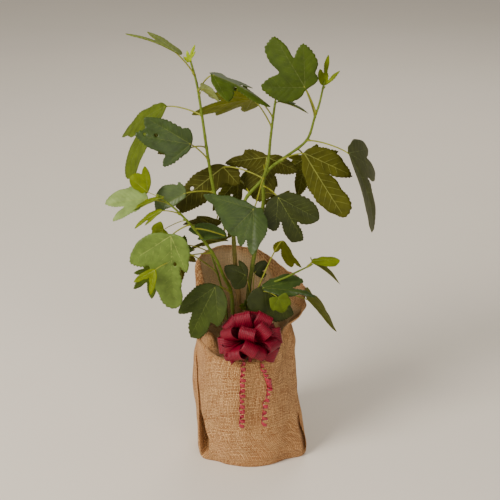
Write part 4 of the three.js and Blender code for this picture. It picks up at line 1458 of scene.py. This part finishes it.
def blade(shape, leaf):
    """A thin closed blade with its upper and lower face in their own colours, and its veins."""
    flat, faces = blade_triangles(leaf)
    paths = vein_paths(leaf, outline(leaf))
    sink = quilting(flat, paths, leaf.length)
    n = len(flat)
    top = on_blade(leaf, flat[:, 0], flat[:, 1], sink + BLADE / 2)
    bottom = on_blade(leaf, flat[:, 0], flat[:, 1], sink - BLADE / 2)
    a, b, c = (flat[faces[:, k]] for k in range(3))
    turned = (b[:, 0] - a[:, 0]) * (c[:, 1] - a[:, 1]) - (b[:, 1] - a[:, 1]) * (c[:, 0] - a[:, 0]) < 0
    faces[turned] = faces[turned][:, ::-1]
    counts = {}
    for face in faces:
        for i, j in zip(face, np.roll(face, -1)):
            counts[(int(i), int(j))] = counts.get((int(i), int(j)), 0) + 1
    rim = [(i, j) for i, j in counts if (j, i) not in counts]
    walls = [(j, i, n + i, n + j) for i, j in rim]
    under = [tuple(n + int(i) for i in reversed(face)) for face in faces]
    points = np.vstack([top, bottom])
    start = len(shape.points)
    shape.add(points, [tuple(map(int, face)) for face in faces] + walls, PALETTE.index(leaf.top))
    shape.faces.extend(tuple(start + i for i in face) for face in under)
    shape.slots.extend([PALETTE.index(leaf.under)] * len(under))
    for path, wide, narrow in paths:
        vein_strip(shape, leaf, path, wide, narrow, paths, 1, len(PALETTE) + (leaf.top in PALE_VEINED))
        vein_strip(shape, leaf, path, wide, narrow, paths, -1, len(PALETTE) + 2)


# How a stalk bends, in shares of its span: its rise after it leaves the stem, and how it meets the blade.
STALK_BEND = {"first": 0.35, "rise": 0.12, "behind": 0.13, "under": 0.05}
STALK_INTO_BLADE = 2.5


def bezier(t, start, first, second, end):
    """The point at share t of a curve that two more points draw out."""
    return (1 - t) ** 3 * start + 3 * t * (1 - t) ** 2 * first + 3 * t * t * (1 - t) * second + t**3 * end


def stalk(shape, leaf, name):
    """The stalk rises from inside the stem and runs a little way into the blade."""
    start = CURVES[name].at(share_at(name, leaf.leaves_at))
    end = leaf.at + STALK_INTO_BLADE * leaf.forward
    span = np.linalg.norm(end - start)
    first = mix(start, end, STALK_BEND["first"]) + STALK_BEND["rise"] * span * UP
    second = end - STALK_BEND["behind"] * span * leaf.forward - STALK_BEND["under"] * span * leaf.face
    places = []
    radii = []
    steps = max(8, int(span / 3))
    for i in range(steps + 1):
        t = i / steps
        places.append(bezier(t, start, first, second, end))
        foot = 0.7 * math.exp(-((t * span / 3.5) ** 2))
        radii.append(0.88 * STALK_RADIUS * (mix(1, 0.75, t) + foot))
    size = min(1.0, max(0.6, leaf.length / 60))
    tube(shape, places, [r * size for r in radii], 8)


def foliage(leaf_materials, stalk_material):
    """Each mass of leaves: its blades with their veins in one piece, and its stalks in another."""
    for name, rows in LEAVES.items():
        leaves = [Leaf(row) for row in rows]
        blades = Shape()
        stalks = Shape()
        for leaf in leaves:
            blade(blades, leaf)
            stalk(stalks, leaf, STEM_OF.get(name, name))
        node = {"front": "foliage_front_left", "foot": "foliage_foot_left"}.get(name, "foliage_" + name)
        finished(blades.make("leaves_" + name, leaf_materials), "leaf", node)
        finished(stalks.make("stalks_" + name, [stalk_material]), "green_stem")


# Bow. Each loop leaves the core at a bearing seen from the front, 0 to the right and 90 up, and at a tilt
# from the way the bow faces.
CORE = vec(0, -64, 233)
FACING = vec(0, -0.886, 0.463)
BOW_UP = vec(0, 0.463, 0.886)
# Each loop: its bearing, its tilt, its length, and how the axis of its barrel lies, plus up to the right.
LOOPS = [
    (107, 57, 54, 2), (57, 62, 55, -10), (162, 50, 54, -4), (108, 14, 55, -17), (35, 36, 56, -42),
    (264, 20, 55, -34), (9, 72, 54, -80), (190, 70, 55, 80), (228, 45, 54, 28), (298, 34, 52, -32),
    (345, 52, 54, 6), (330, 74, 52, -60), (140, 72, 52, 40), (84, 76, 48, -4), (208, 62, 53, 60),
    (20, 80, 46, -60),
]
# A loop's half height, its width, its place on the core, and how much it stops short of its length.
LOOP_FATNESS = 13.7
LOOP_WIDTH = 26.4
LOOP_START = 8
LOOP_SHORT = 0.4
LOOP_PLEAT = 1.2
LOOP_ROUNDING = 1.2
# The width where a loop is gathered at the core, and the share of the loop where it is wide again.
PINCH = (0.3, 0.62)
RIBBON = 0.5
LOOP_STEPS = 52
ACROSS_STEPS = 10


def in_bow(angle):
    """The way that lies in the bow's face at an angle, 0 to the right and 90 up."""
    turned = math.radians(angle)
    return vec(math.cos(turned), 0, 0) + BOW_UP * math.sin(turned)


def loop_axes(bearing, tilt, axis):
    """The ways out along a loop, through its barrel and along the barrel's axis."""
    leant = math.radians(tilt)
    out = FACING * math.cos(leant) + in_bow(bearing) * math.sin(leant)
    wide = in_bow(axis)
    wide = unit(wide - out * wide.dot(out))
    return out, np.cross(wide, out), wide


def ribbon_loop(shape, bearing, tilt, length, axis):
    """A strip of ribbon that leaves the core, rounds a wide barrel and comes back."""
    out, along, wide = loop_axes(bearing, tilt, axis)
    rows = []
    flat_map = []
    run = 0.0
    before = None
    for i in range(LOOP_STEPS + 1):
        turn = 2 * math.pi * mix(0.02, 0.98, i / LOOP_STEPS)
        x = LOOP_START + (length - LOOP_START - LOOP_SHORT) * (1 - math.cos(turn)) / 2
        y = LOOP_FATNESS * math.sin(turn / 2) ** LOOP_ROUNDING * math.sin(turn)
        width = LOOP_WIDTH * mix(PINCH[0], 1, ease(x / length, 0, PINCH[1]))
        middle = CORE + out * x + along * y
        run += 0.0 if before is None else float(np.linalg.norm(middle - before))
        before = middle
        pleat = LOOP_PLEAT * (1 - ease(x / length, 0, 0.6))
        row = []
        for j in range(ACROSS_STEPS + 1):
            side = j / ACROSS_STEPS - 0.5
            fold = pleat * math.sin(3 * math.pi * side + bearing)
            row.append(middle + wide * side * width + along * fold)
            flat_map.append((run, side * RIBBON_WIDTH))
        rows.append(row)
    sheet_solid(shape, rows, RIBBON, flat_map)


CUT_END = {"bearing": 222, "tilt": 58, "length": 58, "width": 19, "notch": 6, "start": 6, "arch": 2.5}
CUT_ROWS = 16
CUT_COLUMNS = 8


def cut_end(shape):
    """The ribbon's loose end at the lower left, cut in a V."""
    out, along, wide = loop_axes(CUT_END["bearing"], CUT_END["tilt"], CUT_END["bearing"] - 90)
    rows = []
    flat_map = []
    for i in range(CUT_ROWS + 1):
        share = i / CUT_ROWS
        row = []
        for j in range(CUT_COLUMNS + 1):
            side = j / CUT_COLUMNS - 0.5
            far = CUT_END["length"] - CUT_END["notch"] * (1 - 2 * abs(side))
            x = mix(CUT_END["start"], far, share)
            width = CUT_END["width"] * mix(0.5, 1, ease(share, 0, 0.5))
            curve = CUT_END["arch"] * math.sin(3.2 * share)
            row.append(CORE + out * x + wide * side * width + along * curve)
            flat_map.append((x, side * CUT_END["width"]))
        rows.append(row)
    sheet_solid(shape, rows, RIBBON, flat_map)


# The core's three radii, its rings and sides, and how it is pleated.
CORE_SIZE = vec(11, 10, 10)
CORE_RINGS = 15
CORE_SIDES = 24
CORE_PLEATS = 7
CORE_PLEAT = 0.12


def core(shape):
    """The gathered middle of the bow and the tie that goes down to the sack's rim."""
    points = []
    for i in range(CORE_RINGS):
        lift = math.pi * mix(0.02, 0.98, i / (CORE_RINGS - 1))
        for j in range(CORE_SIDES):
            turn = 2 * math.pi * j / CORE_SIDES
            r = math.sin(lift) * (1 + CORE_PLEAT * math.sin(CORE_PLEATS * turn))
            points.append(CORE + CORE_SIZE * vec(r * math.cos(turn), r * math.sin(turn), math.cos(lift)))
    faces = [tuple(reversed(f)) for f in grid_faces(CORE_RINGS, CORE_SIDES, closed=True)]
    last = (CORE_RINGS - 1) * CORE_SIDES
    faces += [tuple(range(CORE_SIDES)), tuple(reversed(range(last, last + CORE_SIDES)))]
    shape.add(points, faces)
    rim_y = -(sack_radius(0, FRONT_RIM) - SACK_WALL / 2)
    path = [vec(0, rim_y, FRONT_RIM + 0.8), vec(0, rim_y, 212), vec(0, mix(rim_y, CORE[1], 0.5), 222), CORE]
    tube(shape, path, [3.2, 2.6, 2.6, 3.0], 10)


STRAND = [(6, -66, 236), (26, -82, 250), (40, -80, 247), (44, -78, 238)]
STRAND_STEPS = 30
STRAND_HALF = 1.2
STRAND_THICKNESS = 0.4


def strand(shape):
    """A thin strip that springs out to the right of the bow."""
    curve = Curve(STRAND)
    middle = []
    for i in range(STRAND_STEPS + 1):
        place = curve.at(i / STRAND_STEPS)
        middle.append([place + side * UP for side in (-STRAND_HALF, 0, STRAND_HALF)])
    sheet_solid(shape, middle, STRAND_THICKNESS)


def bow(material):
    """All of the bow in one piece."""
    shape = Shape()
    for bearing, tilt, length, axis in LOOPS:
        ribbon_loop(shape, bearing, tilt, length, axis)
    cut_end(shape)
    core(shape)
    strand(shape)
    finished(shape.make("bow_ribbon", [material]), "ribbon", "bow")


# Curled ribbon tails, each a thin strip wound round a path that hangs just in front of the sack.
TAIL_CURL = 5
TAIL_PITCH = 9.5
CURL_WIDTH = 6.4
TAIL_THICKNESS = 0.45
# Curls and widths vary between two shares, and each turn moves them on by this much of a turn.
CURL_SHARES = (0.65, 1.05)
CURL_BEAT = 0.37
WIDTH_SHARES = (0.55, 1.1)
WIDTH_BEAT = 0.77
TAILS = {
    "left": [(-9, 222), (-11, 196), (-12, 160), (-13, 124), (-13, 90)],
    "right": [(14, 222), (20, 196), (30, 170), (32, 152), (25, 122), (24, 88)],
}
TAIL_CLEAR = 8
# Between these heights the tails run back into the bow, to this y.
TAIL_TOP = (198, 222, -68)
# The curls start small and are full size between these shares of the way down.
CURLS = (0.05, 0.3)
TAIL_STEPS_PER_TURN = 26


def tail_path(places):
    """The middle line of a tail, which hangs clear of the sack."""
    points = []
    for x, z in places:
        bearing = math.degrees(math.atan2(x, profile_radius(z)))
        hanging = -math.sqrt((sack_radius(bearing, z) + TAIL_CLEAR) ** 2 - x * x)
        points.append((x, mix(hanging, TAIL_TOP[2], ease(z, TAIL_TOP[0], TAIL_TOP[1])), z))
    return Curve(points)


def tail(side, material):
    shape = Shape()
    path = tail_path(TAILS[side])
    turns = path.length(0, 60) / TAIL_PITCH
    steps = round(turns * TAIL_STEPS_PER_TURN)
    middle = []
    for i in range(steps + 1):
        share = i / steps
        turn = share * turns * 2 * math.pi
        curl = mix(*CURL_SHARES, 0.5 + 0.5 * math.sin(CURL_BEAT * turn))
        radius = TAIL_CURL * ease(share, *CURLS) * curl
        place = path.at(share) + vec(radius * math.cos(turn), radius * math.sin(turn), 0)
        half = CURL_WIDTH / 2 * mix(*WIDTH_SHARES, 0.5 + 0.5 * math.sin(WIDTH_BEAT * turn))
        middle.append([place + w * half * UP for w in (-1.0, -0.33, 0.33, 1.0)])
    sheet_solid(shape, middle, TAIL_THICKNESS)
    finished(shape.make("curled_ribbon_" + side, [material]), "ribbon", "ribbon_tail_" + side)


# Stage
FLOOR_HALF = 12.0


def floor():
    size = FLOOR_HALF
    mesh = bpy.data.meshes.new("floor")
    corners = [(-size, -size, 0), (size, -size, 0), (size, size, 0), (-size, size, 0)]
    mesh.from_pydata(corners, [], [(0, 1, 2, 3)])
    mesh.materials.append(floor_material())
    obj = bpy.data.objects.new("floor", mesh)
    bpy.context.scene.collection.objects.link(obj)


PHOTO_SIZE = 500
FOCAL_PIXELS = 1159
CAMERA_AT = (0.0, -1.741, 1.115)
CAMERA_PITCH = 23.3


def camera():
    data = bpy.data.cameras.new("camera")
    data.sensor_width = 36
    data.lens = data.sensor_width * FOCAL_PIXELS / PHOTO_SIZE
    obj = bpy.data.objects.new("camera", data)
    obj.location = CAMERA_AT
    obj.rotation_euler = (math.radians(90 - CAMERA_PITCH), 0, 0)
    bpy.context.scene.collection.objects.link(obj)
    bpy.context.scene.camera = obj


def area_light(name, place, target, size, power, colour):
    data = bpy.data.lights.new(name, "AREA")
    data.shape = "DISK"
    data.size = size
    data.energy = power
    data.color = colour
    obj = bpy.data.objects.new(name, data)
    obj.location = place
    obj.rotation_euler = (Vector(target) - Vector(place)).to_track_quat("-Z", "Y").to_euler()
    bpy.context.scene.collection.objects.link(obj)


def lights():
    target = (0, 0, 0.35)
    area_light("key_light", (-2.1, -1.7, 2.3), target, 1.4, 138, (1.0, 0.94, 0.85))
    area_light("fill_light", (1.1, -2.8, 1.4), target, 2.0, 33, (1.0, 0.95, 0.88))
    area_light("back_light", (0.5, 2.2, 2.2), target, 1.6, 26, (1.0, 0.95, 0.86))
    world = bpy.data.worlds.new("sky")
    world.use_nodes = True
    world.node_tree.nodes["Background"].inputs["Color"].default_value = (1.0, 0.95, 0.86, 1)
    world.node_tree.nodes["Background"].inputs["Strength"].default_value = 0.42
    bpy.context.scene.world = world


def main():
    camera()
    lights()
    floor()
    sack()
    compost()
    brown = bark_material("bark", (0.27, 0.165, 0.055), (0.11, 0.15, 0.012), 300, 400)
    young_bark = bark_material("young_bark", (0.075, 0.08, 0.016), (0.12, 0.165, 0.013), 250, 420)
    green = bark_material("green_stem", (0.085, 0.105, 0.016), (0.135, 0.19, 0.014), 215, 330)
    stem("trunk", brown, "bark", "trunk")
    stem("centre", young_bark, "bark", "stem_centre")
    for name in ("left", "right"):
        stem(name, green, "green_stem", "bough_" + name)
    for name in ("low_left", "low_right", "slender"):
        stem(name, green, "green_stem", "stem_" + name)
    stalk_material = leaf_material("leaf_stalk", (0.24, 0.25, 0.02), 0.5)
    leaf_materials = [leaf_material("leaf_" + key, *LEAF_COLOURS[key]) for key in PALETTE]
    leaf_materials.append(leaf_material("vein_top", (0.1, 0.13, 0.02), 0.5))
    leaf_materials.append(leaf_material("vein_top_pale", (0.24, 0.3, 0.06), 0.5))
    leaf_materials.append(leaf_material("vein_under", (0.2, 0.215, 0.032), 0.55))
    foliage(leaf_materials, stalk_material)
    ribbon = ribbon_material()
    curl = curl_material()
    bow(ribbon)
    tail("left", curl)
    tail("right", curl)


main()
